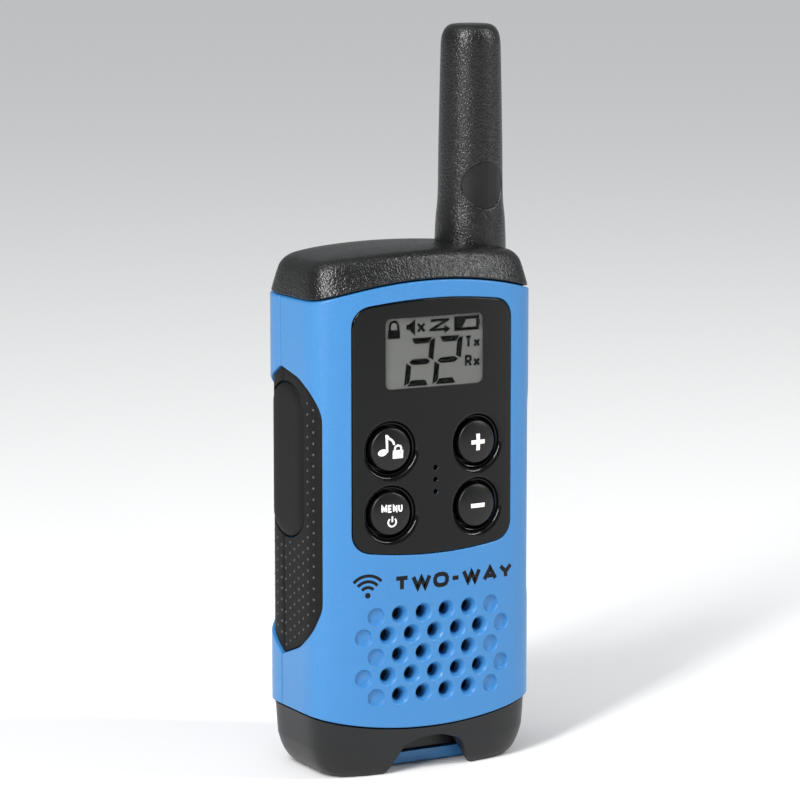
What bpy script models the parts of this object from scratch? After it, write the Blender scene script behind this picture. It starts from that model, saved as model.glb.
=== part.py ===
"""A small handheld two-way radio, built piece by piece.

Frame: +Z up, +X to the right as seen from the front, the front faces -Y. The origin is
on the surface that the radio stands on, below the middle of the body. Sizes are metres.
Each object is one real piece. Pieces that rest on each other keep a gap of CLEARANCE.
"""

import math

import bmesh
import bpy
import numpy as np
from mathutils import Matrix, Vector

MM = 0.001
CLEARANCE = 0.3 * MM

# Body: one cross-section, a rounded box with a gently bowed front
BODY_HALF_WIDTH = 26.8 * MM
BODY_HALF_DEPTH = 15.24 * MM
CORNER_POWER = 6.0
FRONT_BOW_RADIUS = 170.0 * MM
REAR_BOW_RADIUS = 400.0 * MM
PARTING_Y = 4.5 * MM
OVERALL_HEIGHT = 159.0 * MM
QUARTER_POINTS = 8
TURN_WEIGHT = 12.0 * MM

# Seams between the blue housings and the black end caps: arcs seen from the front
TOP_SEAM_Z = 106.5 * MM
TOP_SEAM_RADIUS = 92.0 * MM
FOOT_SEAM_Z = 10.1 * MM
FOOT_SEAM_RADIUS = 101.0 * MM

# Top cap: side inset, front inset, rise over the seam (mm), and how far its arch has flattened
CAP_STEPS = (
    (0.3, 0.3, 0.15, 0.0),
    (0.6, 1.2, 2.2, 0.2),
    (1.3, 2.2, 4.2, 0.6),
    (2.2, 3.0, 5.1, 0.8),
    (3.8, 4.6, 5.75, 0.95),
    (7.5, 7.5, 6.1, 1.0),
    (13.0, 11.0, 6.3, 1.0),
)
CAP_TOP_RADIUS = 180.0 * MM

# Foot: side inset, front and rear inset, height (mm)
FOOT_STEPS = ((6.0, 3.2, 0.0), (4.0, 2.6, 0.8), (2.2, 1.8, 3.0), (1.0, 1.0, 6.6))

# Housing walls
CAVITY_HALF_WIDTH = 23.2 * MM
CAVITY_FRONT_Y = -11.4 * MM
CAVITY_REAR_Y = 12.0 * MM

# Front panel, display and keys
PANEL_HALF_WIDTH = 19.25 * MM
PANEL_LOW_Z = 47.9 * MM
PANEL_HIGH_Z = 102.6 * MM
PANEL_ARC_RADIUS = 110.0 * MM
PANEL_CORNER = 4.2 * MM
PANEL_THICKNESS = 1.2 * MM
WINDOW_HALF_WIDTH = 11.85 * MM
WINDOW_LOW_Z = 83.75 * MM
WINDOW_HIGH_Z = 98.76 * MM
WINDOW_CORNER = 1.2 * MM
WINDOW_BACK_Y = -13.3 * MM
WINDOW_SUNK = 0.15 * MM
DISPLAY_HALF_WIDTH = 13.6 * MM
DISPLAY_LOW_Z = 81.8 * MM
DISPLAY_HIGH_Z = 100.6 * MM
DISPLAY_CORNER = 0.5 * MM
DISPLAY_FRONT_Y = -13.0 * MM
DISPLAY_BACK_Y = -11.0 * MM
KEY_X = 10.46 * MM
KEY_UPPER_Z = 70.98 * MM
KEY_LOWER_Z = 57.22 * MM
KEY_RADIUS = 4.7 * MM
KEY_DISH_RADIUS = 6.0 * MM
MIC_Z = 63.8 * MM
MIC_HOLE_PITCH = 2.6 * MM

# Speaker grille: staggered rows, the outermost place of each row is a blind dimple
GRILLE_PITCH = 5.61 * MM
GRILLE_ROW_PITCH = 4.39 * MM
GRILLE_LOW_Z = 17.75 * MM
GRILLE_ROWS = 5
GRILLE_HOLE_RADIUS = 1.15 * MM
GRILLE_FUNNEL_RADIUS = 1.85 * MM
GRILLE_FUNNEL_DEPTH = 0.7 * MM
SPEAKER_Z = GRILLE_LOW_Z + 2 * GRILLE_ROW_PITCH
SPEAKER_RADIUS = 13.0 * MM

# Side grips and the push-to-talk button, in the side view (y, z)
GRIP_SINK = 0.6 * MM
GRIP_THICKNESS = 0.8 * MM
GRIP_CORNERS = (
    ((4.5, 87.4), 0.6),
    ((-4.0, 85.6), 12.0),
    ((-8.6, 83.0), 6.0),
    ((-10.7, 79.3), 5.0),
    ((-10.7, 36.9), 5.0),
    ((-8.7, 32.2), 6.0),
    ((-4.0, 28.4), 12.0),
    ((4.5, 25.3), 0.6),
    ((12.0, 30.4), 4.0),
    ((12.0, 83.2), 4.0),
)
BUTTON_CORNERS = (
    ((-4.8, 81.2), 4.0),
    ((2.7, 85.9), 9.0),
    ((10.2, 81.2), 4.0),
    ((10.2, 54.0), 4.0),
    ((2.7, 49.5), 9.0),
    ((-4.8, 54.0), 4.0),
)
FLANGE_CORNERS = (((-5.7, 49.0), 2.5), ((6.5, 49.0), 2.5), ((6.5, 86.2), 2.5), ((-5.7, 86.2), 2.5))
BUTTON_MIDDLE_Z = 67.4 * MM
BUTTON_PROUD = 0.35 * MM
BUTTON_TRAVEL = 0.8 * MM

# Antenna
ANTENNA_X = 17.9 * MM
ANTENNA_Y = 1.4 * MM
ANTENNA_BORE = 4.2 * MM

# Battery bay, cells and cover
CELL_RADIUS = 5.1 * MM
CELL_LENGTH = 44.5 * MM
CELL_PITCH = 10.9 * MM
CELL_Y = 8.0 * MM
CELL_LOW_Z = 20.6 * MM
BAY_HALF_WIDTH = 16.6 * MM
BAY_LOW_Z = 15.4 * MM
BAY_HIGH_Z = 70.2 * MM
BAY_FLOOR_Y = 2.6 * MM
BAY_WALL = 1.1 * MM
COVER_HALF_WIDTH = 17.9 * MM
COVER_LOW_Z = 14.6 * MM
COVER_HIGH_Z = 75.5 * MM
COVER_THICKNESS = 1.6 * MM
TAIL_HALF_WIDTH = 12.2 * MM

# Foot and its latch
SLOT_HALF_WIDTH = 12.9 * MM
SLOT_FRONT_Y = -10.2 * MM
SLOT_HIGH_Z = 7.7 * MM
ARCH_CORNERS = (((-11.3, -1.0), 0.0), ((-6.9, 6.3), 2.4), ((-2.5, 7.7), 6.0),
                ((2.5, 7.7), 6.0), ((6.9, 6.3), 2.4), ((11.3, -1.0), 0.0))
LATCH_FRONT_Y = -7.0 * MM
LATCH_LOW_Z = 0.5 * MM
LATCH_HIGH_Z = 2.9 * MM
LATCH_AXIS_Y = 11.0 * MM
LATCH_AXIS_Z = 2.1 * MM
PIN_RADIUS = 0.6 * MM

# Screws that hold the two housings together
SCREW_X = 21.0 * MM
SCREW_HEIGHTS = (18.5 * MM, 93.5 * MM)
BOSS_RADIUS = 2.3 * MM

# Main board
BOARD_FRONT_Y = -7.4 * MM
BOARD_THICKNESS = 1.2 * MM

AXIS_TURNS = {
    "X": Matrix.Rotation(math.radians(90), 4, "Z") @ Matrix.Rotation(math.radians(90), 4, "X"),
    "Y": Matrix.Rotation(math.radians(90), 4, "X"),
    "Z": Matrix.Identity(4),
}
PARTS = "two_way_radio"
CUTTERS = "two_way_radio_cutters"


# ---------------------------------------------------------------- scene and materials

def clear_scene():
    """Remove what the file holds, and make the two collections."""
    for old in list(bpy.data.objects):
        bpy.data.objects.remove(old, do_unlink=True)
    for name in (PARTS, CUTTERS):
        bpy.context.scene.collection.children.link(bpy.data.collections.new(name))


def plastic(name, colour, roughness, metallic=0.0):
    """A Principled material of one colour."""
    made = bpy.data.materials.new(name)
    made.use_nodes = True
    shader = made.node_tree.nodes["Principled BSDF"]
    shader.inputs["Base Color"].default_value = (*colour, 1.0)
    shader.inputs["Roughness"].default_value = roughness
    shader.inputs["Metallic"].default_value = metallic
    return made


def make_materials():
    """Every finish of the radio, by name."""
    return {
        "blue": plastic("blue_plastic", (0.078, 0.288, 0.597), 0.42),
        "black": plastic("black_plastic", (0.030, 0.031, 0.032), 0.40),
        "panel": plastic("panel_plastic", (0.019, 0.020, 0.020), 0.22),
        "rubber": plastic("black_rubber", (0.040, 0.041, 0.042), 0.75),
        "window": plastic("display_window", (0.195, 0.195, 0.188), 0.08),
        "display": plastic("display_glass", (0.180, 0.185, 0.160), 0.25),
        "board": plastic("circuit_board", (0.020, 0.120, 0.055), 0.45),
        "steel": plastic("steel", (0.620, 0.620, 0.630), 0.30, 1.0),
        "brass": plastic("brass", (0.710, 0.540, 0.250), 0.30, 1.0),
        "white": plastic("natural_plastic", (0.750, 0.740, 0.700), 0.50),
        "paper": plastic("speaker_paper", (0.060, 0.055, 0.050), 0.85),
        "cell": plastic("cell_jacket", (0.055, 0.150, 0.075), 0.35),
        "red": plastic("red_insulation", (0.500, 0.030, 0.025), 0.50),
    }


def place(thing, cutter=False):
    """Link an object into the parts or the cutters, and show cutters as wire."""
    bpy.data.collections[CUTTERS if cutter else PARTS].objects.link(thing)
    if cutter:
        thing.hide_render = True
        thing.display_type = "WIRE"
    return thing


def finish(thing, material, smooth_angle=30.0):
    """Give a piece its material and shade it smooth except at its sharp edges."""
    thing.data.materials.clear()
    thing.data.materials.append(material)
    thing.data.shade_smooth()
    thing.data.set_sharp_from_angle(angle=math.radians(smooth_angle))
    return thing


# ---------------------------------------------------------------- shape helpers

def from_bmesh(name, shape, cutter=False):
    """Turn a bmesh into an object, with its faces pointing out."""
    bmesh.ops.recalc_face_normals(shape, faces=shape.faces)
    mesh = bpy.data.meshes.new(name)
    shape.to_mesh(mesh)
    shape.free()
    return place(bpy.data.objects.new(name, mesh), cutter)


def box(name, low, high, cutter=False):
    """A box between two corners."""
    low, high = Vector(low), Vector(high)
    shape = bmesh.new()
    bmesh.ops.create_cube(shape, size=1.0)
    bmesh.ops.scale(shape, vec=high - low, verts=shape.verts)
    bmesh.ops.translate(shape, vec=(low + high) / 2, verts=shape.verts)
    return from_bmesh(name, shape, cutter)


def add_cone(shape, start, end, radius_start, radius_end, sides):
    """Add a closed cone or cylinder to a bmesh, from start to end."""
    start, end = Vector(start), Vector(end)
    turn = Vector((0, 0, 1)).rotation_difference((end - start).normalized()).to_matrix().to_4x4()
    bmesh.ops.create_cone(
        shape, cap_ends=True, segments=sides, radius1=radius_start, radius2=radius_end,
        depth=(end - start).length, matrix=Matrix.Translation((start + end) / 2) @ turn)


def rod(name, start, end, radius, sides=16, cutter=False, radius_end=None):
    """A cylinder or cone between two points."""
    shape = bmesh.new()
    add_cone(shape, start, end, radius, radius if radius_end is None else radius_end, sides)
    return from_bmesh(name, shape, cutter)


def turned(name, profile, axis, centre, steps=16, cutter=False):
    """Turn a profile of (radius, height) points, outer side first from the top, about an axis."""
    shape = bmesh.new()
    points = [shape.verts.new((radius, 0.0, height)) for radius, height in profile]
    for first, second in zip(points, points[1:] + points[:1]):
        if first.co.x > 1e-9 or second.co.x > 1e-9:
            shape.edges.new((first, second))
    mesh = bpy.data.meshes.new(name)
    shape.to_mesh(mesh)
    shape.free()
    made = place(bpy.data.objects.new(name, mesh), cutter)
    made.matrix_world = Matrix.Translation(Vector(centre)) @ AXIS_TURNS[axis]
    screw = made.modifiers.new("turned", "SCREW")
    screw.steps = screw.render_steps = steps
    screw.use_merge_vertices = True
    screw.merge_threshold = 0.00001
    screw.use_smooth_shade = True
    return made


def rounded(corners, steps=4):
    """An outline through corners ((u, v), radius) in mm, each rounded by an arc; metres out."""
    outline = []
    count = len(corners)
    for index, (corner, radius) in enumerate(corners):
        here = Vector(corner)
        if radius <= 0.0:
            outline.append(here * MM)
            continue
        back = (Vector(corners[index - 1][0]) - here).normalized()
        ahead = (Vector(corners[(index + 1) % count][0]) - here).normalized()
        half = back.angle(ahead) / 2
        centre = here + (back + ahead).normalized() * (radius / math.sin(half))
        start = here + back * (radius / math.tan(half)) - centre
        end = here + ahead * (radius / math.tan(half)) - centre
        sweep = start.angle_signed(end)
        outline += [(centre + Matrix.Rotation(-sweep * step / steps, 2) @ start) * MM
                    for step in range(steps + 1)]
    return outline


def offset_corners(corners, amount):
    """Move corners (mm) outwards by amount (metres), in a convex anticlockwise or clockwise outline."""
    moved = []
    count = len(corners)
    area = sum(corners[i][0][0] * corners[(i + 1) % count][0][1]
               - corners[(i + 1) % count][0][0] * corners[i][0][1] for i in range(count))
    side = math.copysign(1.0, area)
    for index, (corner, radius) in enumerate(corners):
        here = Vector(corner)
        ahead = (Vector(corners[(index + 1) % count][0]) - here).normalized()
        back = (here - Vector(corners[index - 1][0])).normalized()
        normals = [Vector((run.y, -run.x)) * side for run in (back, ahead)]
        middle = (normals[0] + normals[1]).normalized()
        reach = amount / MM / middle.dot(normals[0])
        moved.append((tuple(here + middle * reach), max(radius + amount / MM, 0.0)))
    return moved


def plate(name, outline, axis, low, high, cutter=False):
    """Extrude a flat outline (metres) along an axis. The outline is (x, y), (x, z) or (y, z)."""
    curve = bpy.data.curves.new(name, "CURVE")
    curve.dimensions = "2D"
    curve.fill_mode = "BOTH"
    curve.extrude = (high - low) / 2
    spline = curve.splines.new("POLY")
    spline.points.add(len(outline) - 1)
    for point, (u, v) in zip(spline.points, outline):
        point.co = (u, v, 0.0, 1.0)
    spline.use_cyclic_u = True
    middle = {"X": ((low + high) / 2, 0, 0), "Y": (0, (low + high) / 2, 0), "Z": (0, 0, (low + high) / 2)}
    guide = bpy.data.objects.new(name + "_outline", curve)
    bpy.context.scene.collection.objects.link(guide)
    guide.matrix_world = Matrix.Translation(middle[axis]) @ AXIS_TURNS[axis]
    return from_curve(name, guide, cutter)


def from_curve(name, guide, cutter=False):
    """Make a curve object a closed mesh object and remove the curve."""
    bpy.context.view_layer.update()
    evaluated = guide.evaluated_get(bpy.context.evaluated_depsgraph_get())
    shape = bmesh.new()
    flat = bpy.data.meshes.new_from_object(evaluated)
    shape.from_mesh(flat)
    bmesh.ops.transform(shape, matrix=guide.matrix_world, verts=shape.verts)
    bmesh.ops.remove_doubles(shape, verts=shape.verts, dist=0.000001)
    curve = guide.data
    bpy.data.objects.remove(guide)
    bpy.data.curves.remove(curve)
    bpy.data.meshes.remove(flat)
    return from_bmesh(name, shape, cutter)


def wire(name, points, radius, resolution=0, cutter=False):
    """A round wire through points, closed at its ends; 4 sides at resolution 0, 6 at 1."""
    curve = bpy.data.curves.new(name, "CURVE")
    curve.dimensions = "3D"
    curve.bevel_depth = radius
    curve.bevel_resolution = resolution
    curve.use_fill_caps = True
    spline = curve.splines.new("POLY")
    spline.points.add(len(points) - 1)
    for point, where in zip(spline.points, points):
        point.co = (*where, 1.0)
    guide = bpy.data.objects.new(name + "_route", curve)
    bpy.context.scene.collection.objects.link(guide)
    return from_curve(name, guide, cutter)


def combine(target, other, operation):
    """Add a Boolean modifier: DIFFERENCE cuts, UNION joins, INTERSECT keeps what both share."""
    step = target.modifiers.new(operation.lower(), "BOOLEAN")
    step.operation = operation
    step.solver = "EXACT"
    step.object = other
    return target


def cut(target, *others):
    """Cut each of the others out of the target."""
    for other in others:
        combine(target, other, "DIFFERENCE")
    return target


def join(target, *others):
    """Join each of the others to the target."""
    for other in others:
        combine(target, other, "UNION")
    return target


def keep(target, *others):
    """Keep only what the target shares with each of the others."""
    for other in others:
        combine(target, other, "INTERSECT")
    return target


# ---------------------------------------------------------------- body section

def quarter_angles():
    """Superellipse angles from the middle of a face to its side, denser where the outline turns."""
    angle = np.linspace(0.0, math.pi / 2, 4001)
    x = BODY_HALF_WIDTH * np.sin(angle) ** (2 / CORNER_POWER)
    y = BODY_HALF_DEPTH * np.cos(angle) ** (2 / CORNER_POWER)
    length = np.hypot(np.diff(x), np.diff(y))
    heading = np.unwrap(np.arctan2(np.diff(y), np.diff(x)))
    turning = np.abs(np.diff(heading, prepend=heading[0]))
    travelled = np.concatenate([[0.0], np.cumsum(length + TURN_WEIGHT * turning)])
    return np.interp(np.linspace(0.0, travelled[-1], QUARTER_POINTS + 1), travelled, angle)


def face_chains(side_inset, front_inset, rear_inset):
    """The front and rear curves of the section, (x, y) from left to right, ends shared."""
    angles = quarter_angles()
    angles = np.concatenate([-angles[::-1], angles[1:]])
    reach = np.abs(np.cos(angles)) ** (2 / CORNER_POWER)
    reach[[0, -1]] = 0.0
    x = (BODY_HALF_WIDTH - side_inset) * np.sign(angles) * np.abs(np.sin(angles)) ** (2 / CORNER_POWER)
    front = -(BODY_HALF_DEPTH - front_inset - x ** 2 / (2 * FRONT_BOW_RADIUS)) * reach
    rear = (BODY_HALF_DEPTH - rear_inset - x ** 2 / (2 * REAR_BOW_RADIUS)) * reach
    return x, front, rear


def front_y(x):
    """The y of the body's front surface at x, away from the corners."""
    return -(BODY_HALF_DEPTH - x ** 2 / (2 * FRONT_BOW_RADIUS)) * (
        1 - abs(x / BODY_HALF_WIDTH) ** CORNER_POWER) ** (1 / CORNER_POWER)


def arc_rise(x, radius):
    """How far an arc of a radius has turned away from its top at x."""
    return radius - np.sqrt(radius ** 2 - np.asarray(x) ** 2)


def top_seam(x):
    """Height of the seam under the top cap."""
    return TOP_SEAM_Z - arc_rise(x, TOP_SEAM_RADIUS)


def foot_seam(x):
    """Height of the seam over the foot."""
    return FOOT_SEAM_Z + arc_rise(x, FOOT_SEAM_RADIUS)


def section_loft(name, rings, cutter=False):
    """Join section rings (side, front and rear inset, height as a function of x) into one solid.

    Each end is closed by strips that run front to rear between points of equal x.
    """
    shape = bmesh.new()
    loops = []
    for side_inset, front_inset, rear_inset, height in rings:
        x, front, rear = face_chains(side_inset, front_inset, rear_inset)
        z = height(x)
        fronts = [shape.verts.new((x[i], front[i], z[i])) for i in range(len(x))]
        rears = [fronts[0], *[shape.verts.new((x[i], rear[i], z[i])) for i in range(1, len(x) - 1)],
                 fronts[-1]]
        loops.append((fronts, rears))
    for (fronts, rears), (next_fronts, next_rears) in zip(loops, loops[1:]):
        for chain, next_chain in ((fronts, next_fronts), (rears, next_rears)):
            for i in range(len(chain) - 1):
                shape.faces.new((chain[i], chain[i + 1], next_chain[i + 1], next_chain[i]))
    for fronts, rears in (loops[0], loops[-1]):
        for i in range(len(fronts) - 1):
            corners = (fronts[i], fronts[i + 1], rears[i + 1], rears[i])
            shape.faces.new(tuple(dict.fromkeys(corners)))
    return from_bmesh(name, shape, cutter)


def body_block(name, inset, low, high, cutter=False):
    """The body's section at one inset, between two heights given as functions of x."""
    return section_loft(name, [(inset, inset, inset, low), (inset, inset, inset, high)], cutter)


def flat(height):
    """A height that is the same for all x."""
    return lambda x: np.full_like(x, height)


def half_space(name, rear):
    """A block in front of or behind the parting plane, less half the gap between the housings."""
    reach = 40 * MM
    low_y, high_y = (PARTING_Y + CLEARANCE / 2, reach) if rear else (-reach, PARTING_Y - CLEARANCE / 2)
    return box(name, (-reach, low_y, -reach), (reach, high_y, OVERALL_HEIGHT + reach), cutter=True)


# ---------------------------------------------------------------- outlines

def panel_corners(grow):
    """Corners of the front panel, in mm: straight sides and arched ends, grown by an amount."""
    half = (PANEL_HALF_WIDTH + grow) / MM
    ends = [half * share for share in (-1.0, -0.6, -0.2, 0.2, 0.6, 1.0)]
    sag = [float(arc_rise(x * MM, PANEL_ARC_RADIUS)) / MM for x in ends]
    low, high = (PANEL_LOW_Z - grow) / MM, (PANEL_HIGH_Z + grow) / MM
    radii = [PANEL_CORNER / MM if abs(x) == half else 0.0 for x in ends]
    under = [((x, low + drop), radius) for x, drop, radius in zip(ends, sag, radii)]
    over = [((x, high - drop), radius) for x, drop, radius in zip(ends, sag, radii)]
    return under + over[::-1]


def rectangle_corners(half_width, low, high, radius):
    """Corners of an upright rectangle about x = 0, in mm."""
    half, low, high, radius = (value / MM for value in (half_width, low, high, radius))
    return [((-half, low), radius), ((half, low), radius), ((half, high), radius), ((-half, high), radius)]


def display_corners():
    """Corners of the display glass, in mm."""
    return rectangle_corners(DISPLAY_HALF_WIDTH, DISPLAY_LOW_Z, DISPLAY_HIGH_Z, DISPLAY_CORNER)


def grille_places():
    """(x, z, blind) of every place in the grille."""
    places = []
    for row in range(GRILLE_ROWS):
        columns = [-2.5 + i for i in range(6)] if row % 2 == 0 else [-3.0 + i for i in range(7)]
        for column in columns:
            blind = column in (columns[0], columns[-1])
            places.append((column * GRILLE_PITCH, GRILLE_LOW_Z + row * GRILLE_ROW_PITCH, blind))
    return places


def key_places():
    """Name and place of each key."""
    return (("key_call", -KEY_X, KEY_UPPER_Z), ("key_menu", -KEY_X, KEY_LOWER_Z),
            ("key_plus", KEY_X, KEY_UPPER_Z), ("key_minus", KEY_X, KEY_LOWER_Z))


def screw_places():
    """Index, x and z of each housing screw."""
    return [(i + 1, x, z) for i, (x, z) in
            enumerate((x, z) for z in SCREW_HEIGHTS for x in (-SCREW_X, SCREW_X))]


# ---------------------------------------------------------------- housings

def cavity_outline(low_y, high_y, low_radius, high_radius):
    """The room inside the housings, seen from above."""
    half, low, high = CAVITY_HALF_WIDTH / MM, low_y / MM, high_y / MM
    return rounded([((-half, low), low_radius), ((half, low), low_radius),
                    ((half, high), high_radius), ((-half, high), high_radius)])


def grip_cutter(name, side):
    """What a grip's pocket takes out of a housing's side."""
    sink = GRIP_SINK + GRIP_THICKNESS + CLEARANCE
    outline = rounded(offset_corners(GRIP_CORNERS, CLEARANCE / 2))
    low, high = sorted((side * 20 * MM, side * 30 * MM))
    pocket = plate(name, outline, "X", low, high, cutter=True)
    core = body_block(name + "_core", sink, flat(0.0), flat(OVERALL_HEIGHT), cutter=True)
    return cut(pocket, core)


def button_outline(grow):
    """The push-to-talk button's outline, grown by an amount."""
    return rounded(offset_corners(BUTTON_CORNERS, grow))


def button_opening(name):
    """The opening for the button, through the left wall."""
    return plate(name, button_outline(CLEARANCE), "X", -30 * MM, -20 * MM, cutter=True)


def grille_cutters(name):
    """Funnels with holes, and blind dimples, as one cutter of separate solids."""
    shape = bmesh.new()
    for x, z, blind in grille_places():
        face = float(front_y(x))
        mouth, throat = face - 1.0 * MM, face + GRILLE_FUNNEL_DEPTH
        slope = (GRILLE_FUNNEL_RADIUS - GRILLE_HOLE_RADIUS) / GRILLE_FUNNEL_DEPTH
        if blind:
            add_cone(shape, (x, mouth, z), (x, throat, z),
                     GRILLE_FUNNEL_RADIUS, GRILLE_FUNNEL_RADIUS * 0.9, 10)
            continue
        wide = GRILLE_HOLE_RADIUS + slope * (throat - mouth)
        ring = bmesh.new()
        add_cone(ring, (x, mouth, z), (x, throat, z), wide, GRILLE_HOLE_RADIUS, 10)
        tip = [f for f in ring.faces if all(v.co.y > throat - 0.01 * MM for v in f.verts)]
        grown = bmesh.ops.extrude_discrete_faces(ring, faces=tip)["faces"]
        bmesh.ops.translate(ring, vec=(0, CAVITY_FRONT_Y + 1.0 * MM - throat, 0),
                            verts=list({v for f in grown for v in f.verts}))
        bmesh.ops.remove_doubles(ring, verts=ring.verts, dist=0.000001)
        part = bpy.data.meshes.new("hole")
        ring.to_mesh(part)
        ring.free()
        shape.from_mesh(part)
        bpy.data.meshes.remove(part)
    return from_bmesh(name, shape, cutter=True)


def shell_low(x):
    """Height of the shells' lower edge: just over the seam of the foot."""
    return foot_seam(x) + CLEARANCE / 2


def shell_high(x):
    """Height of the shells' upper edge: just under the seam of the cap."""
    return top_seam(x) - CLEARANCE / 2


def front_housing(materials):
    """The blue front shell: a tub that is open to the rear and at both ends."""
    shell = body_block("front_housing", 0.0, shell_low, shell_high)
    cavity = cavity_outline(CAVITY_FRONT_Y, 20 * MM, 2.0, 0.0)
    cut(shell, plate("front_cavity", cavity, "Z", 0.0, OVERALL_HEIGHT, cutter=True))
    for index, x, z in screw_places():
        join(shell, rod(f"front_boss_{index}", (x, CAVITY_FRONT_Y - 0.8 * MM, z),
                        (x, PARTING_Y - CLEARANCE, z), BOSS_RADIUS, 12, cutter=True))
    keep(shell, half_space("front_side", rear=False))
    for index, x, z in screw_places():
        cut(shell, rod(f"front_pilot_{index}", (x, -8.0 * MM, z), (x, 10.0 * MM, z), 1.25 * MM, 10,
                       cutter=True))
    floor = plate("panel_pocket", rounded(panel_corners(CLEARANCE)), "Y", -20 * MM, -5 * MM, cutter=True)
    band = PANEL_THICKNESS + CLEARANCE
    core = section_loft("panel_pocket_core", [(0, band, 0, flat(40 * MM)), (0, band, 0, flat(110 * MM))],
                        cutter=True)
    cut(shell, cut(floor, core))
    opening = offset_corners(display_corners(), CLEARANCE)
    cut(shell, plate("display_opening", rounded(opening, 1), "Y", -18 * MM, -8 * MM, cutter=True))
    for key, x, z in key_places():
        cut(shell, rod(key + "_opening", (x, -18 * MM, z), (x, -8 * MM, z),
                       KEY_RADIUS + CLEARANCE, 16, cutter=True))
    cut(shell, rod("mic_opening", (0, -14.5 * MM, MIC_Z), (0, -8 * MM, MIC_Z), 1.8 * MM, 10, cutter=True))
    cut(shell, grille_cutters("grille_openings"))
    cut(shell, grip_cutter("left_pocket", -1), grip_cutter("right_pocket", 1))
    cut(shell, button_opening("button_opening_front"))
    return finish(shell, materials["blue"])


def rear_housing(materials):
    """The blue rear shell, with the battery bay moulded into it."""
    shell = body_block("rear_housing", 0.0, shell_low, shell_high)
    cavity = cavity_outline(-20 * MM, CAVITY_REAR_Y, 0.0, 4.0)
    cut(shell, plate("rear_cavity", cavity, "Z", 0.0, OVERALL_HEIGHT, cutter=True))
    keep(shell, half_space("rear_side", rear=True))
    for index, x, z in screw_places():
        join(shell, rod(f"rear_boss_{index}", (x, PARTING_Y + CLEARANCE, z),
                        (x, CAVITY_REAR_Y + 0.4 * MM, z), BOSS_RADIUS, 12, cutter=True))
    wall = BAY_WALL
    join(shell, box("bay_block", (-BAY_HALF_WIDTH - wall, BAY_FLOOR_Y - wall, BAY_LOW_Z - wall),
                    (BAY_HALF_WIDTH + wall, CAVITY_REAR_Y + 0.4 * MM, BAY_HIGH_Z + wall), cutter=True))
    cut(shell, box("bay_room", (-BAY_HALF_WIDTH, BAY_FLOOR_Y, BAY_LOW_Z),
                   (BAY_HALF_WIDTH, 20 * MM, BAY_HIGH_Z), cutter=True))
    reach = COVER_HALF_WIDTH + CLEARANCE
    pocket = box("cover_pocket", (-reach, 0, COVER_LOW_Z - CLEARANCE),
                 (reach, 20 * MM, COVER_HIGH_Z + CLEARANCE), cutter=True)
    tail = TAIL_HALF_WIDTH + CLEARANCE
    join(pocket, box("tail_pocket", (-tail, 1 * MM, -5 * MM), (tail, 19 * MM, COVER_LOW_Z + 1 * MM),
                     cutter=True))
    band = COVER_THICKNESS + CLEARANCE
    core = section_loft("cover_pocket_core", [(0, 0, band, flat(-10 * MM)), (0, 0, band, flat(90 * MM))],
                        cutter=True)
    cut(shell, cut(pocket, core))
    cut(shell, *[box(f"hook_slot_{index}", (x - 2.6 * MM, 10.9 * MM, COVER_HIGH_Z - 3.6 * MM),
                     (x + 2.6 * MM, 13.55 * MM, COVER_HIGH_Z + 2.4 * MM), cutter=True)
                 for index, x in enumerate((-9 * MM, 9 * MM))])
    for index, x, z in screw_places():
        cut(shell, rod(f"rear_way_{index}", (x, 2 * MM, z), (x, 17 * MM, z), 1.3 * MM, 10, cutter=True))
        cut(shell, rod(f"rear_head_{index}", (x, 11.2 * MM, z), (x, 17 * MM, z), 2.1 * MM, 12, cutter=True))
    cut(shell, box("clip_recess", (-7.5 * MM, 14.4 * MM, 81 * MM), (7.5 * MM, 20 * MM, 99 * MM),
                   cutter=True))
    cut(shell, grip_cutter("left_rear_pocket", -1), grip_cutter("right_rear_pocket", 1))
    cut(shell, button_opening("button_opening_rear"))
    return finish(shell, materials["blue"])


def cap_rings(grow):
    """Rings of the top cap's outer surface from its lower edge up, grown outwards by an amount."""
    rings = []
    for side, front, rise, flatten in CAP_STEPS:
        def height(x, up=rise * MM + grow, share=flatten):
            straighter = arc_rise(x, TOP_SEAM_RADIUS) - arc_rise(x, CAP_TOP_RADIUS)
            return top_seam(x) + up + share * straighter
        rings.append((side * MM - grow, front * MM - grow, front * MM - grow, height))
    return rings


def top_cap(materials):
    """The black cap over both housings, open below, with a lip that locates in them."""
    outer = cap_rings(0.0)[::-1]
    lip, wall = 4.0 * MM, 2.0 * MM

    def under(drop):
        """Heights that lie a drop below the cap's lower edge."""
        return lambda x: top_seam(x) + CLEARANCE / 2 - drop

    rings = outer + [(lip, 4.3 * MM, 3.7 * MM, under(0.0)), (lip, 4.3 * MM, 3.7 * MM, under(2.0 * MM)),
                     (lip + wall, 6.0 * MM, 5.4 * MM, under(2.0 * MM)),
                     (lip + wall, 6.0 * MM, 5.4 * MM, under(-3.0 * MM)),
                     (13.0 * MM, 11.0 * MM, 11.0 * MM, under(-4.0 * MM))]
    cap = section_loft("top_cap", rings)
    cut(cap, rod("antenna_hole", (ANTENNA_X, ANTENNA_Y, 100 * MM), (ANTENNA_X, ANTENNA_Y, 118 * MM),
                 4.0 * MM, 16, cutter=True))
    return finish(cap, materials["black"])


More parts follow.
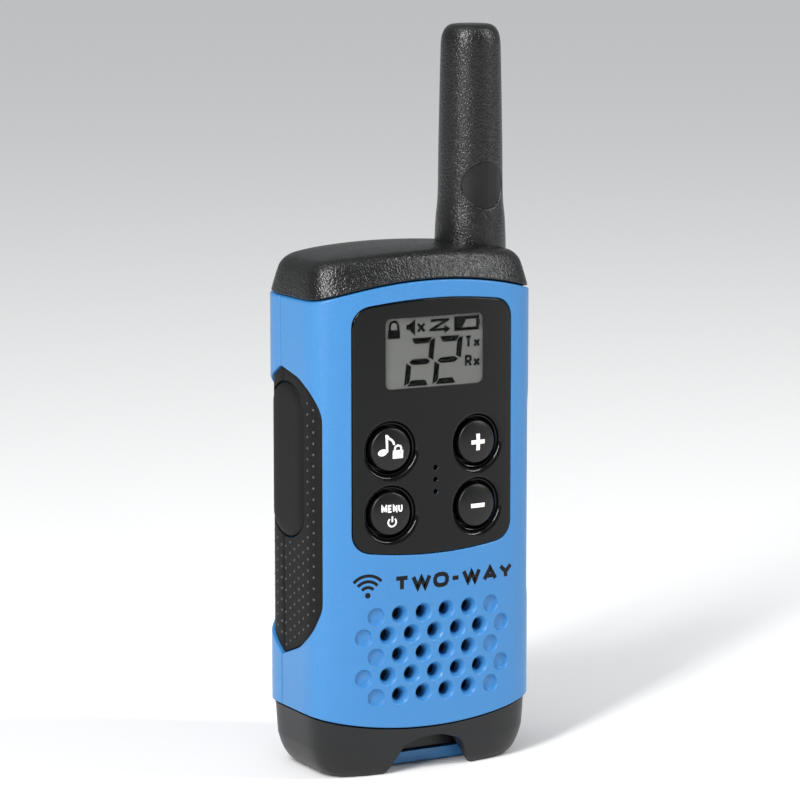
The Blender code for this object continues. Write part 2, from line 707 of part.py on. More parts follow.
def bottom_cap(materials):
    """The black foot: rounded below, with a finger arch in front and a slot for the latch."""

    def under(drop):
        """Heights that lie a drop below the foot's upper edge."""
        return lambda x: foot_seam(x) - CLEARANCE / 2 - drop

    rings = [(side * MM, front * MM, front * MM, flat(height * MM)) for side, front, height in FOOT_STEPS]
    rings.append((0.5 * MM, 0.5 * MM, 0.5 * MM, under(0.0)))
    foot = section_loft("bottom_cap", rings)
    pocket = rounded([((14.6, -9.0), 2.0), ((22.8, -9.0), 3.0), ((22.8, 9.0), 3.0), ((14.6, 9.0), 2.0)])
    for name, side in (("left", -1), ("right", 1)):
        outline = [(side * x, y) for x, y in pocket]
        cut(foot, plate(f"foot_pocket_{name}", outline, "Z", 3.4 * MM, 30 * MM, cutter=True))
    cut(foot, box("latch_slot", (-SLOT_HALF_WIDTH, SLOT_FRONT_Y, -5 * MM),
                  (SLOT_HALF_WIDTH, 20 * MM, SLOT_HIGH_Z), cutter=True))
    cut(foot, plate("finger_arch", rounded(ARCH_CORNERS), "Y", -20 * MM, SLOT_FRONT_Y + 0.5 * MM,
                    cutter=True))
    tail = TAIL_HALF_WIDTH + 2 * CLEARANCE
    cut(foot, box("tail_slot", (-tail, 11.0 * MM, -4 * MM), (tail, 21 * MM, 30 * MM), cutter=True))
    return finish(foot, materials["black"])


def side_grip(name, side, rear, materials):
    """A rubber grip insert in one housing's side."""
    outline = rounded(offset_corners(GRIP_CORNERS, -CLEARANCE / 2))
    low, high = sorted((side * 19 * MM, side * 31 * MM))
    grip = plate(name, outline, "X", low, high)
    shell = body_block(name + "_face", GRIP_SINK, flat(0.0), flat(OVERALL_HEIGHT), cutter=True)
    core = body_block(name + "_back", GRIP_SINK + GRIP_THICKNESS, flat(-1 * MM), flat(OVERALL_HEIGHT + MM),
                      cutter=True)
    keep(grip, shell)
    cut(grip, core)
    keep(grip, half_space(name + "_half", rear))
    if side < 0:
        cut(grip, button_opening(name + "_button_opening"))
    return finish(grip, materials["rubber"])


# ---------------------------------------------------------------- front panel and display

def front_panel(materials):
    """The black panel that frames the display and the keys."""
    panel = plate("front_panel", rounded(panel_corners(0.0)), "Y", -20 * MM, -5 * MM)
    face = section_loft("panel_face", [(0, 0, 0, flat(40 * MM)), (0, 0, 0, flat(110 * MM))], cutter=True)
    back = section_loft("panel_back", [(0, PANEL_THICKNESS, 0, flat(39 * MM)),
                                       (0, PANEL_THICKNESS, 0, flat(111 * MM))], cutter=True)
    keep(panel, face)
    cut(panel, back)
    window = rectangle_corners(WINDOW_HALF_WIDTH, WINDOW_LOW_Z, WINDOW_HIGH_Z, WINDOW_CORNER)
    cut(panel, plate("panel_window", rounded(window, 2), "Y", -19 * MM, -6 * MM, cutter=True))
    for key, x, z in key_places():
        face_y = float(front_y(x))
        cut(panel, rod(key + "_way", (x, -19 * MM, z), (x, -8 * MM, z), KEY_RADIUS + CLEARANCE, 20,
                       cutter=True))
        cut(panel, rod(key + "_dish", (x, face_y - 0.8 * MM, z), (x, face_y + 0.8 * MM, z),
                       KEY_DISH_RADIUS + 0.8 * MM, 20, cutter=True, radius_end=KEY_RADIUS + 0.5 * MM))
    for index in (-1, 0, 1):
        z = MIC_Z + index * MIC_HOLE_PITCH
        cut(panel, rod(f"mic_way_{index + 1}", (0, -19 * MM, z), (0, -8 * MM, z), 0.45 * MM, 8, cutter=True))
    return finish(panel, materials["panel"])


def display_window(materials):
    """The clear window, level with the front panel's face."""
    corners = rectangle_corners(WINDOW_HALF_WIDTH, WINDOW_LOW_Z, WINDOW_HIGH_Z, WINDOW_CORNER)
    window = plate("display_window", rounded(offset_corners(corners, -CLEARANCE), 2), "Y",
                   -18 * MM, WINDOW_BACK_Y)
    ends = [(0, WINDOW_SUNK, 0, flat(height)) for height in (70 * MM, 110 * MM)]
    keep(window, section_loft("window_face", ends, cutter=True))
    return finish(window, materials["window"])


def display(materials):
    """The display glass, its light guide and the strip that connects it to the board."""
    lcd = plate("lcd_module", rounded(display_corners(), 1), "Y", DISPLAY_FRONT_Y, DISPLAY_BACK_Y)
    front, back = DISPLAY_BACK_Y + CLEARANCE, BOARD_FRONT_Y - CLEARANCE
    guide = box("lcd_light_guide", (-12.6 * MM, front, 84.6 * MM), (12.6 * MM, back, 99.6 * MM))
    strip = box("lcd_connector_strip", (-12.0 * MM, front, 82.2 * MM), (12.0 * MM, back, 84.0 * MM))
    finish(lcd, materials["display"])
    finish(guide, materials["white"])
    finish(strip, materials["rubber"])


def keys(materials):
    """Four domed keys, each with a flange that keeps it behind the wall."""
    flange_top = CAVITY_FRONT_Y + CLEARANCE
    for name, x, z in key_places():
        profile = ((0.0, 15.15), (2.4, 15.02), (3.9, 14.70), (4.55, 14.35), (4.7, 13.9),
                   (4.7, -flange_top / MM), (5.6, -flange_top / MM), (5.6, 10.3), (0.0, 10.3))
        key = turned(name, [(radius * MM, height * MM) for radius, height in profile], "Y", (x, 0.0, z), 16)
        finish(key, materials["panel"])


def keypad(materials):
    """The rubber sheet under the keys and the switch under each key."""
    corners = rectangle_corners(17.4 * MM, 50.2 * MM, 78.0 * MM, 2 * MM)
    sheet = plate("keypad_membrane", rounded(corners, 2), "Y", -9.5 * MM, -8.8 * MM)
    cut(sheet, rod("membrane_hole", (0, -12 * MM, MIC_Z), (0, -6 * MM, MIC_Z), 3.9 * MM, 14, cutter=True))
    finish(sheet, materials["rubber"])
    for index, (_, x, z) in enumerate(key_places()):
        dome = rod(f"key_switch_{index + 1}", (x, -8.5 * MM, z), (x, -7.7 * MM, z), 1.9 * MM, 12,
                   radius_end=2.6 * MM)
        finish(dome, materials["steel"])


# ---------------------------------------------------------------- push-to-talk

def talk_button(materials):
    """The push-to-talk button, with its flange behind the wall and a stem for the switch."""
    button = plate("ptt_button", button_outline(-0.1 * MM), "X", -30 * MM, -CAVITY_HALF_WIDTH)
    face = body_block("button_face", GRIP_SINK - BUTTON_PROUD, flat(0.0), flat(OVERALL_HEIGHT), cutter=True)
    keep(button, face)
    inner = -CAVITY_HALF_WIDTH + CLEARANCE
    join(button, plate("button_flange", rounded(FLANGE_CORNERS), "X", inner, inner + 0.8 * MM, cutter=True))
    join(button, rod("button_stem", (inner - 2.5 * MM, 0, BUTTON_MIDDLE_Z),
                     (inner + 1.6 * MM, 0, BUTTON_MIDDLE_Z), 1.6 * MM, 10, cutter=True))
    join(button, plate("button_web", button_outline(-1.0 * MM), "X", -CAVITY_HALF_WIDTH - 0.5 * MM,
                       inner + 0.4 * MM, cutter=True))
    finish(button, materials["rubber"])


def talk_switch(materials):
    """The small switch that the button's stem presses."""
    left = -CAVITY_HALF_WIDTH + CLEARANCE + 1.6 * MM + BUTTON_TRAVEL + 0.1 * MM
    switch = box("ptt_switch", (left + 0.5 * MM, -3.0 * MM, BUTTON_MIDDLE_Z - 3.0 * MM),
                 (left + 1.9 * MM, 0.2 * MM, BUTTON_MIDDLE_Z + 3.0 * MM))
    join(switch, rod("switch_plunger", (left, -0.9 * MM, BUTTON_MIDDLE_Z),
                     (left + 1.0 * MM, -0.9 * MM, BUTTON_MIDDLE_Z), 0.9 * MM, 8, cutter=True))
    finish(switch, materials["steel"])


# ---------------------------------------------------------------- board, microphone, speaker

def electronics(materials):
    """The main board with its shield and chip, and the antenna's contact."""
    back = BOARD_FRONT_Y + BOARD_THICKNESS
    board = box("main_board", (-18.2 * MM, BOARD_FRONT_Y, 42.0 * MM), (18.2 * MM, back, 101.0 * MM))
    finish(board, materials["board"])
    top = back + CLEARANCE
    shield = box("shield_can", (-14 * MM, top, 74 * MM), (12 * MM, top + 2.6 * MM, 97 * MM))
    cut(shield, box("shield_room", (-13.6 * MM, top - 1 * MM, 74.4 * MM),
                    (11.6 * MM, top + 2.2 * MM, 96.6 * MM), cutter=True))
    finish(shield, materials["steel"])
    finish(box("radio_chip", (-4 * MM, top, 82 * MM), (4 * MM, top + 1.0 * MM, 90 * MM)), materials["panel"])
    audio = box("audio_chip", (-3.5 * MM, top, 55 * MM), (3.5 * MM, top + 1.1 * MM, 60 * MM))
    finish(audio, materials["panel"])
    strip = rounded([((-6.0, 98.0), 0.0), ((-5.2, 98.0), 0.0), ((-5.2, 102.4), 0.8), ((2.6, 102.4), 0.0),
                     ((2.6, 103.2), 0.0), ((-6.0, 103.2), 1.0)], 2)
    moved = [(y + CLEARANCE + 0.2 * MM, z) for y, z in strip]
    contact = plate("antenna_contact", moved, "X", ANTENNA_X - 4.2 * MM, ANTENNA_X - 0.6 * MM)
    finish(contact, materials["brass"])


def microphone(materials):
    """The microphone capsule in its rubber boot."""
    capsule = rod("microphone", (0, -10.8 * MM, MIC_Z), (0, -8.3 * MM, MIC_Z), 2.25 * MM, 16)
    boot = turned("microphone_boot", [(3.5 * MM, 11.1 * MM), (3.5 * MM, 8.2 * MM), (2.6 * MM, 8.2 * MM),
                                      (2.6 * MM, 11.1 * MM)], "Y", (0, 0, MIC_Z), 16)
    finish(capsule, materials["steel"])
    finish(boot, materials["rubber"])


def speaker(materials):
    """The loudspeaker: cloth, gasket, frame, cone and magnet, and its two leads."""
    centre = (0, 0, SPEAKER_Z)
    edge = SPEAKER_RADIUS
    finish(rod("speaker_cloth", (0, -11.1 * MM, SPEAKER_Z), (0, -10.9 * MM, SPEAKER_Z), edge, 24),
           materials["paper"])
    gasket = turned("speaker_gasket", [(edge, 10.6 * MM), (edge, 10.0 * MM), (edge - 2 * MM, 10.0 * MM),
                                       (edge - 2 * MM, 10.6 * MM)], "Y", centre, 20)
    frame = turned("speaker_frame", [(edge, 9.7 * MM), (edge, 8.9 * MM), (10.4 * MM, 8.3 * MM),
                                     (8.0 * MM, 6.0 * MM), (8.0 * MM, 5.4 * MM), (4.2 * MM, 5.4 * MM),
                                     (4.2 * MM, 6.2 * MM), (7.2 * MM, 6.2 * MM), (9.8 * MM, 8.9 * MM),
                                     (edge - 1.6 * MM, 9.1 * MM), (edge - 1.6 * MM, 9.7 * MM)],
                   "Y", centre, 16)
    cone = turned("speaker_cone", [(0.0, 7.6 * MM), (3.4 * MM, 7.2 * MM), (10.2 * MM, 9.7 * MM),
                                   (10.8 * MM, 9.7 * MM), (10.8 * MM, 9.45 * MM), (10.2 * MM, 9.35 * MM),
                                   (3.4 * MM, 6.6 * MM), (3.4 * MM, 4.6 * MM), (3.0 * MM, 4.6 * MM),
                                   (3.0 * MM, 6.8 * MM), (0.0, 7.3 * MM)], "Y", centre, 16)
    magnet = turned("speaker_magnet", [(0.0, 6.2 * MM), (2.5 * MM, 6.2 * MM), (2.5 * MM, 3.6 * MM),
                                       (3.9 * MM, 3.6 * MM), (3.9 * MM, 5.1 * MM), (7.0 * MM, 5.1 * MM),
                                       (7.0 * MM, 2.4 * MM), (0.0, 2.4 * MM)], "Y", centre, 16)
    finish(gasket, materials["rubber"])
    finish(frame, materials["white"])
    finish(cone, materials["paper"])
    finish(magnet, materials["steel"])
    for name, side, colour in (("speaker_lead_red", -1, "red"), ("speaker_lead_black", 1, "rubber")):
        lead = wire(name, [(side * 5.0 * MM, -4.6 * MM, SPEAKER_Z + 8.6 * MM),
                           (side * 6.0 * MM, -3.4 * MM, SPEAKER_Z + 12 * MM),
                           (side * 7.0 * MM, -3.2 * MM, SPEAKER_Z + 17 * MM),
                           (side * 8.0 * MM, -4.2 * MM, SPEAKER_Z + 20 * MM),
                           (side * 8.4 * MM, -5.2 * MM, SPEAKER_Z + 21 * MM)], 0.45 * MM)
        finish(lead, materials[colour])


# ---------------------------------------------------------------- antenna

def antenna(materials):
    """The antenna: a rubber sleeve over a coil on its core, and the ferrule through the cap."""
    centre = (ANTENNA_X, ANTENNA_Y, 0.0)
    tip = OVERALL_HEIGHT
    sleeve = turned("antenna_sleeve", [
        (0.0, tip), (4.6 * MM, tip), (5.75 * MM, tip - 0.5 * MM), (6.35 * MM, tip - 1.9 * MM),
        (6.5 * MM, tip - 4.5 * MM), (6.9 * MM, 132 * MM), (7.1 * MM, 121 * MM), (7.55 * MM, 116.5 * MM),
        (7.7 * MM, 113.5 * MM), (7.7 * MM, 104 * MM), (ANTENNA_BORE, 104 * MM), (ANTENNA_BORE, 152 * MM),
        (0.0, 152 * MM)], "Z", centre, 20)
    cut(sleeve, section_loft("cap_clearance", [(0, 0, 0, flat(90 * MM)), *cap_rings(CLEARANCE)],
                             cutter=True))
    finish(sleeve, materials["black"])
    ferrule = turned("antenna_ferrule", [
        (0.0, 119.7 * MM), (3.7 * MM, 119.7 * MM), (3.7 * MM, 103.5 * MM), (0.0, 103.5 * MM)],
        "Z", centre, 12)
    core = turned("antenna_core", [(0.0, 151.0 * MM), (2.3 * MM, 151.0 * MM), (2.3 * MM, 120.0 * MM),
                                   (0.0, 120.0 * MM)], "Z", centre, 10)
    turns, steps, radius = 9, 8, 3.2 * MM
    angles = np.linspace(0.0, 2 * math.pi * turns, turns * steps + 1)
    heights = np.linspace(120.8 * MM, 150.0 * MM, len(angles))
    route = np.column_stack([ANTENNA_X + radius * np.cos(angles), ANTENNA_Y + radius * np.sin(angles),
                             heights])
    coil = wire("antenna_coil", route.tolist(), 0.4 * MM)
    finish(ferrule, materials["brass"])
    finish(core, materials["white"])
    finish(coil, materials["brass"])


# ---------------------------------------------------------------- battery bay

def cell_places():
    """Index, x and direction of each cell: the middle one stands the other way up."""
    return [(i + 1, (i - 1) * CELL_PITCH, 1 if i != 1 else -1) for i in range(3)]


def cells(materials):
    """Three dry cells in series, with a spring on each negative and a plate on each positive end."""
    middle = CELL_LOW_Z + CELL_LENGTH / 2
    for index, x, up in cell_places():
        half = CELL_LENGTH / 2
        profile = [(0.0, half), (1.8 * MM, half), (1.8 * MM, half - 0.8 * MM), (4.6 * MM, half - 0.8 * MM),
                   (CELL_RADIUS, half - 1.2 * MM), (CELL_RADIUS, 0.4 * MM - half), (4.6 * MM, -half),
                   (0.0, -half)]
        cell = turned(f"battery_cell_{index}", profile, "Z", (0, 0, 0), 16)
        flip = Matrix.Rotation(0.0 if up > 0 else math.pi, 4, "X")
        cell.matrix_world = Matrix.Translation((x, CELL_Y, middle)) @ flip
        finish(cell, materials["cell"])
        turns, steps = 3, 8
        angles = np.linspace(0.0, 2 * math.pi * turns, turns * steps + 1)
        radius = np.linspace(3.8 * MM, 2.0 * MM, len(angles))
        end = middle - up * half
        heights = np.linspace(end - up * 4.4 * MM, end - up * 0.75 * MM, len(angles))
        route = np.column_stack([x + radius * np.cos(angles), CELL_Y + radius * np.sin(angles), heights])
        finish(wire(f"battery_spring_{index}", route.tolist(), 0.35 * MM), materials["steel"])
        face = middle + up * (half + CLEARANCE)
        low, high = sorted((face, face + up * 0.4 * MM))
        finish(box(f"battery_plate_{index}", (x - 3.6 * MM, CELL_Y - 4.2 * MM, low),
                   (x + 3.6 * MM, CELL_Y + 3.0 * MM, high)), materials["steel"])


def cover_rings(inset):
    """Rings of the cover's rear face: the body's rear face, drawn in towards the foot."""
    steps = [(0.0, 90.0 + inset / MM), (0.0, FOOT_SEAM_Z / MM + 0.5)]
    steps += [(front - 0.1, height) for _, front, height in FOOT_STEPS[::-1]]
    steps[-1] = (steps[-1][0], -1.0 - inset / MM)
    return [(0.0, 0.0, rear * MM + inset, flat(height * MM)) for rear, height in steps]


def battery_cover(materials):
    """The rear cover: it hooks in at its top, and its tail carries the latch."""
    cover = box("battery_cover", (-COVER_HALF_WIDTH, 0, COVER_LOW_Z),
                (COVER_HALF_WIDTH, 22 * MM, COVER_HIGH_Z))
    tail_low = 3.9 * MM
    join(cover, box("cover_tail", (-TAIL_HALF_WIDTH, 1 * MM, tail_low),
                    (TAIL_HALF_WIDTH, 21 * MM, COVER_LOW_Z + 1 * MM), cutter=True))
    keep(cover, section_loft("cover_face", cover_rings(0.0), cutter=True))
    cut(cover, section_loft("cover_back", cover_rings(COVER_THICKNESS), cutter=True))
    for index, x in enumerate((-9 * MM, 9 * MM)):
        join(cover, box(f"cover_hook_{index}", (x - 2 * MM, 12.2 * MM, COVER_HIGH_Z - 2.0 * MM),
                        (x + 2 * MM, 13.1 * MM, COVER_HIGH_Z + 1.4 * MM), cutter=True))
        join(cover, box(f"cover_root_{index}", (x - 2 * MM, 12.6 * MM, COVER_HIGH_Z - 1.9 * MM),
                        (x + 2 * MM, 14.3 * MM, COVER_HIGH_Z - 0.6 * MM), cutter=True))
    ears = ((-11.9, -9.9), (9.9, 11.9))
    for index, (left, right) in enumerate(ears):
        join(cover, box(f"latch_ear_{index}", (left * MM, LATCH_AXIS_Y - 1.5 * MM, LATCH_AXIS_Z - 1.4 * MM),
                        (right * MM, 12.7 * MM, 5.2 * MM), cutter=True))
    cut(cover, rod("ear_bore", (-14 * MM, LATCH_AXIS_Y, LATCH_AXIS_Z), (14 * MM, LATCH_AXIS_Y, LATCH_AXIS_Z),
                   PIN_RADIUS + 0.15 * MM, 12, cutter=True))
    finish(cover, materials["blue"])


def battery_latch(materials):
    """The blue latch under the foot, reached through the arch, and its pin."""
    latch = box("battery_latch", (-TAIL_HALF_WIDTH, LATCH_FRONT_Y, LATCH_LOW_Z),
                (TAIL_HALF_WIDTH, 8.4 * MM, LATCH_HIGH_Z))
    join(latch, box("latch_neck", (-9.4 * MM, 8.0 * MM, LATCH_LOW_Z + 0.3 * MM),
                    (9.4 * MM, LATCH_AXIS_Y, LATCH_HIGH_Z - 0.5 * MM), cutter=True))
    ends = ((-9.4 * MM, LATCH_AXIS_Y, LATCH_AXIS_Z), (9.4 * MM, LATCH_AXIS_Y, LATCH_AXIS_Z))
    join(latch, rod("latch_barrel", ends[0], ends[1], 1.35 * MM, 12, cutter=True))
    cut(latch, rod("latch_bore", (-14 * MM, LATCH_AXIS_Y, LATCH_AXIS_Z),
                   (14 * MM, LATCH_AXIS_Y, LATCH_AXIS_Z), PIN_RADIUS + 0.15 * MM, 12, cutter=True))
    finish(latch, materials["blue"])
    pin = rod("latch_pin", (-11.8 * MM, LATCH_AXIS_Y, LATCH_AXIS_Z), (11.8 * MM, LATCH_AXIS_Y, LATCH_AXIS_Z),
              PIN_RADIUS, 12)
    finish(pin, materials["steel"])


# ---------------------------------------------------------------- fasteners

def housing_screws(materials):
    """Four screws from the rear, each with a round head and a cross recess."""
    for index, x, z in screw_places():
        profile = ((0.0, -2.0), (1.0, -2.0), (1.0, -11.6), (1.8, -11.6), (1.8, -12.4), (1.3, -13.0),
                   (0.0, -13.0))
        sizes = [(radius * MM, height * MM) for radius, height in profile]
        screw = turned(f"housing_screw_{index}", sizes, "Y", (x, 0, z), 10)
        for number, (wide, tall) in enumerate(((2.0, 0.5), (0.5, 2.0))):
            cut(screw, box(f"cross_{index}_{number}", (x - wide / 2 * MM, 12.3 * MM, z - tall / 2 * MM),
                           (x + wide / 2 * MM, 14 * MM, z + tall / 2 * MM), cutter=True))
        finish(screw, materials["steel"])


def main():
    """Build every piece of the radio."""
    clear_scene()
    materials = make_materials()
    front_housing(materials)
    rear_housing(materials)
    top_cap(materials)
    bottom_cap(materials)
    for name, side in (("left", -1), ("right", 1)):
        side_grip(f"{name}_grip_front", side, False, materials)
        side_grip(f"{name}_grip_rear", side, True, materials)
    front_panel(materials)
    display_window(materials)
    display(materials)
    keys(materials)
    keypad(materials)
    talk_button(materials)
    talk_switch(materials)
    electronics(materials)
    microphone(materials)
    speaker(materials)
    antenna(materials)
    cells(materials)
    battery_cover(materials)
    battery_latch(materials)
    housing_screws(materials)


main()
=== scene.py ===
"""The looks of a small handheld two-way radio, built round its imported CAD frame.

Frame: metres, +Z up, +X to the right as seen from the front, and the front faces -Y. Most pieces
are plates or lofts: an outline grown or shrunk step by step while it sinks into a curved surface.
"""

import logging
import math
from collections.abc import Callable, Iterable, Sequence
from dataclasses import dataclass, field
from enum import Enum
from typing import ClassVar

import bmesh
import bpy
import numpy as np
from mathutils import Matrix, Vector


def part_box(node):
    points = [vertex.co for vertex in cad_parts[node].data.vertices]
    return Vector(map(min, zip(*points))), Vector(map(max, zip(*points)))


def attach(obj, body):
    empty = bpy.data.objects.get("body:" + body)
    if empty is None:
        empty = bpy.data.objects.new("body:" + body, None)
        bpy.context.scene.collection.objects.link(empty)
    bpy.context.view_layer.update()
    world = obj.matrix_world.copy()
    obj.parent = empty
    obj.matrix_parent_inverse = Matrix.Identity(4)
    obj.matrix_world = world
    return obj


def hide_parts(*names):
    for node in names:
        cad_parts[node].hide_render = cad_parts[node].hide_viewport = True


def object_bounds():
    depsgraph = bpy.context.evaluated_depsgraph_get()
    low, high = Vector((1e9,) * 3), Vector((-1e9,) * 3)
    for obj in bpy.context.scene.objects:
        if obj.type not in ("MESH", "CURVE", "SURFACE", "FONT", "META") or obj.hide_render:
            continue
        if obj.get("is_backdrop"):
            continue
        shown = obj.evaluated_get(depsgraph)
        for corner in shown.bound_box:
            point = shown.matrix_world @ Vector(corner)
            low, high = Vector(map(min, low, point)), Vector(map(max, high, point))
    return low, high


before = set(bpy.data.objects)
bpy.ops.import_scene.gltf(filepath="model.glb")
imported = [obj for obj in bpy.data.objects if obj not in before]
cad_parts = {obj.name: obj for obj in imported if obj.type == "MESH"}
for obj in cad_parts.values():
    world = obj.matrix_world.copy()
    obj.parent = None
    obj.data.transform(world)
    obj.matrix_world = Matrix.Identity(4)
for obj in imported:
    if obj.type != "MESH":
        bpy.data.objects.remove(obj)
CAD_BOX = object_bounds()
LOG = logging.getLogger("two_way_radio")
MM = 0.001
Array = np.ndarray
Corners = Sequence[tuple[float, float, float]]
Surface = Callable[[Array, Array, Array | float], Array]
Profile = Sequence[tuple[float, float]]
Thing = bpy.types.Object
Tree = bpy.types.NodeTree
Socket = bpy.types.NodeSocket


# ------------------------------------------------------------------ meshes

def edge(node: str, side: int, axis: int) -> float:
    """The low (side 0) or high (side 1) face of a CAD node along an axis."""
    return float(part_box(node)[side][axis])


def centre(node: str) -> Vector:
    """The middle of a CAD node's box."""
    low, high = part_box(node)
    return (low + high) / 2


def upright_centres(nodes: Iterable[str]) -> Array:
    """x and z of the middles of CAD nodes."""
    return np.array([(centre(node).x, centre(node).z) for node in nodes])


def grid_faces(rows: int, columns: int, wrap: bool = False) -> Array:
    """Quads between the neighbouring points of a grid stored row by row.

    Args:
        rows: number of rows.
        columns: points in a row.
        wrap: whether the last column also joins the first.

    Returns:
        Point indices, four to a face.
    """
    row, column = np.meshgrid(np.arange(rows - 1), np.arange(columns - (0 if wrap else 1)), indexing="ij")
    here, ahead = row * columns + column, row * columns + (column + 1) % columns
    return np.stack([here, ahead, ahead + columns, here + columns], -1).reshape(-1, 4)


def piece(name: str, points: Array, faces: Iterable[Array]) -> Thing:
    """Make a closed mesh: doubles merged, faces pointing out.

    Args:
        name: the object's name.
        points: positions in metres, any shape that ends in 3.
        faces: blocks of point indices.

    Returns:
        The new object, linked to the scene.
    """
    mesh = bpy.data.meshes.new(name)
    rows = [tuple(dict.fromkeys(row)) for block in faces for row in block.tolist()]
    mesh.from_pydata(points.reshape(-1, 3).tolist(), [], [row for row in rows if len(row) > 2])
    shape = bmesh.new()
    shape.from_mesh(mesh)
    bmesh.ops.remove_doubles(shape, verts=shape.verts, dist=1e-7)
    bmesh.ops.dissolve_degenerate(shape, edges=shape.edges, dist=1e-8)
    bmesh.ops.recalc_face_normals(shape, faces=shape.faces)
    shape.to_mesh(mesh)
    shape.free()
    made = bpy.data.objects.new(name, mesh)
    bpy.context.scene.collection.objects.link(made)
    return made


def loft(name: str, rings: Array, wall: bool = False) -> Thing:
    """Join closed rings into one solid, whose ends are closed by strips between facing points.

    In a plain ring, point i faces point N - i, so it starts at one end of its line of symmetry. In a
    wall's C-shaped ring, point i on the outside faces point N - 1 - i on the inside.

    Args:
        name: the object's name.
        rings: positions, (rings, points, 3).
        wall: whether the rings are C-shaped.

    Returns:
        The new object.
    """
    count, around = rings.shape[:2]
    first = np.arange(around // 2 - wall)
    facing = around - first - wall
    strip = np.stack([first, first + 1, (facing - 1) % around, facing % around], -1)
    return piece(name, rings, [grid_faces(count, around, True), strip, strip + (count - 1) * around])


def turned(name: str, profile: Array, places: Array, steps: int, surface: Surface) -> Thing:
    """One mesh of equal turned solids: u = centre + radius cos a, and v = centre + radius sin a.

    Args:
        name: the object's name.
        profile: radii and depths, (points, 2); it starts and ends on the axis.
        places: the centres (u, v), (places, 2).
        steps: points round the axis.
        surface: gives positions from u, v and depth.

    Returns:
        The new object.
    """
    angle = np.arange(steps) * 2 * math.pi / steps
    u = places[:, None, None, 0] + profile[None, :, None, 0] * np.cos(angle)
    v = places[:, None, None, 1] + profile[None, :, None, 0] * np.sin(angle)
    points = surface(u, v, np.broadcast_to(profile[None, :, None, 1], u.shape))
    quads = grid_faces(len(profile), steps, True)
    return piece(name, points, [quads + number * len(profile) * steps for number in range(len(places))])


def tube(name: str, path: Array, radius: float, sides: int = 12) -> Thing:
    """A round wire along a path: a circle carried square to the path's direction.

    Args:
        name: the object's name.
        path: centreline positions, (points, 3).
        radius: the wire's radius.
        sides: points round the wire.

    Returns:
        The new object.
    """
    along = np.gradient(path, axis=0)
    along /= np.linalg.norm(along, axis=1, keepdims=True)
    across = np.cross(along, (0.31, 0.17, 0.94))
    across /= np.linalg.norm(across, axis=1, keepdims=True)
    other = np.cross(along, across)
    angle = np.arange(sides)[None, :, None] * 2 * math.pi / sides
    rings = path[:, None] + radius * (np.cos(angle) * across[:, None] + np.sin(angle) * other[:, None])
    ends = np.stack([path[:1].repeat(sides, 0), path[-1:].repeat(sides, 0)])
    rings = np.concatenate([ends[:1], rings, ends[1:]])
    return piece(name, rings, [grid_faces(len(rings), sides, True)])


def settle(thing: Thing) -> None:
    """Replace an object's mesh by the one that its modifiers make, and drop the modifiers.

    Args:
        thing: the object.
    """
    bpy.context.view_layer.update()
    mesh = bpy.data.meshes.new_from_object(thing.evaluated_get(bpy.context.evaluated_depsgraph_get()))
    thing.modifiers.clear()
    old, thing.data = thing.data, mesh
    bpy.data.meshes.remove(old)


def carve(thing: Thing, *tools: Thing, operation: str = "DIFFERENCE") -> Thing:
    """Cut tools out of a piece, or join them to it, and remove the tools.

    Args:
        thing: the piece.
        tools: closed solids, none of which overlaps itself.
        operation: DIFFERENCE or UNION.

    Returns:
        The piece.
    """
    for tool in tools:
        step = thing.modifiers.new("carve", "BOOLEAN")
        step.operation, step.solver, step.object = operation, "EXACT", tool
    settle(thing)
    for tool in tools:
        bpy.data.objects.remove(tool)
    return thing


def gathered(name: str, parts: Sequence[Thing]) -> Thing:
    """One object that holds the meshes of several as they are; those objects are removed.

    Args:
        name: the object's name.
        parts: the objects, of which the first is kept.

    Returns:
        The first object, renamed.
    """
    shape = bmesh.new()
    for part in parts:
        shape.from_mesh(part.data)
    shape.to_mesh(parts[0].data)
    shape.free()
    for part in parts[1:]:
        bpy.data.objects.remove(part)
    parts[0].name = name
    return parts[0]


def dress(thing: Thing, finish: bpy.types.Material, body: str, *nodes: str, slot: str,
          angle: float = 34.0) -> None:
    """Give a finished piece its looks and its place in the model.

    Args:
        thing: the piece.
        finish: its material.
        body: the body that it moves with.
        nodes: the CAD nodes that it stands for.
        slot: its material slot; not used.
        angle: degrees between faces above which their edge stays sharp.
    """
    thing.data.materials.clear()
    thing.data.materials.append(finish)
    thing.data.shade_smooth()
    thing.data.set_sharp_from_angle(angle=math.radians(angle))
    weigh = thing.modifiers.new("even_shading", "WEIGHTED_NORMAL")
    weigh.keep_sharp, weigh.weight = True, 80
    settle(thing)
    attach(thing, body)
    if nodes:
        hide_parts(*nodes)
    LOG.info("%s: %d faces, rides on %s", thing.name, len(thing.data.polygons), body)


# ------------------------------------------------------------------ outlines and plates

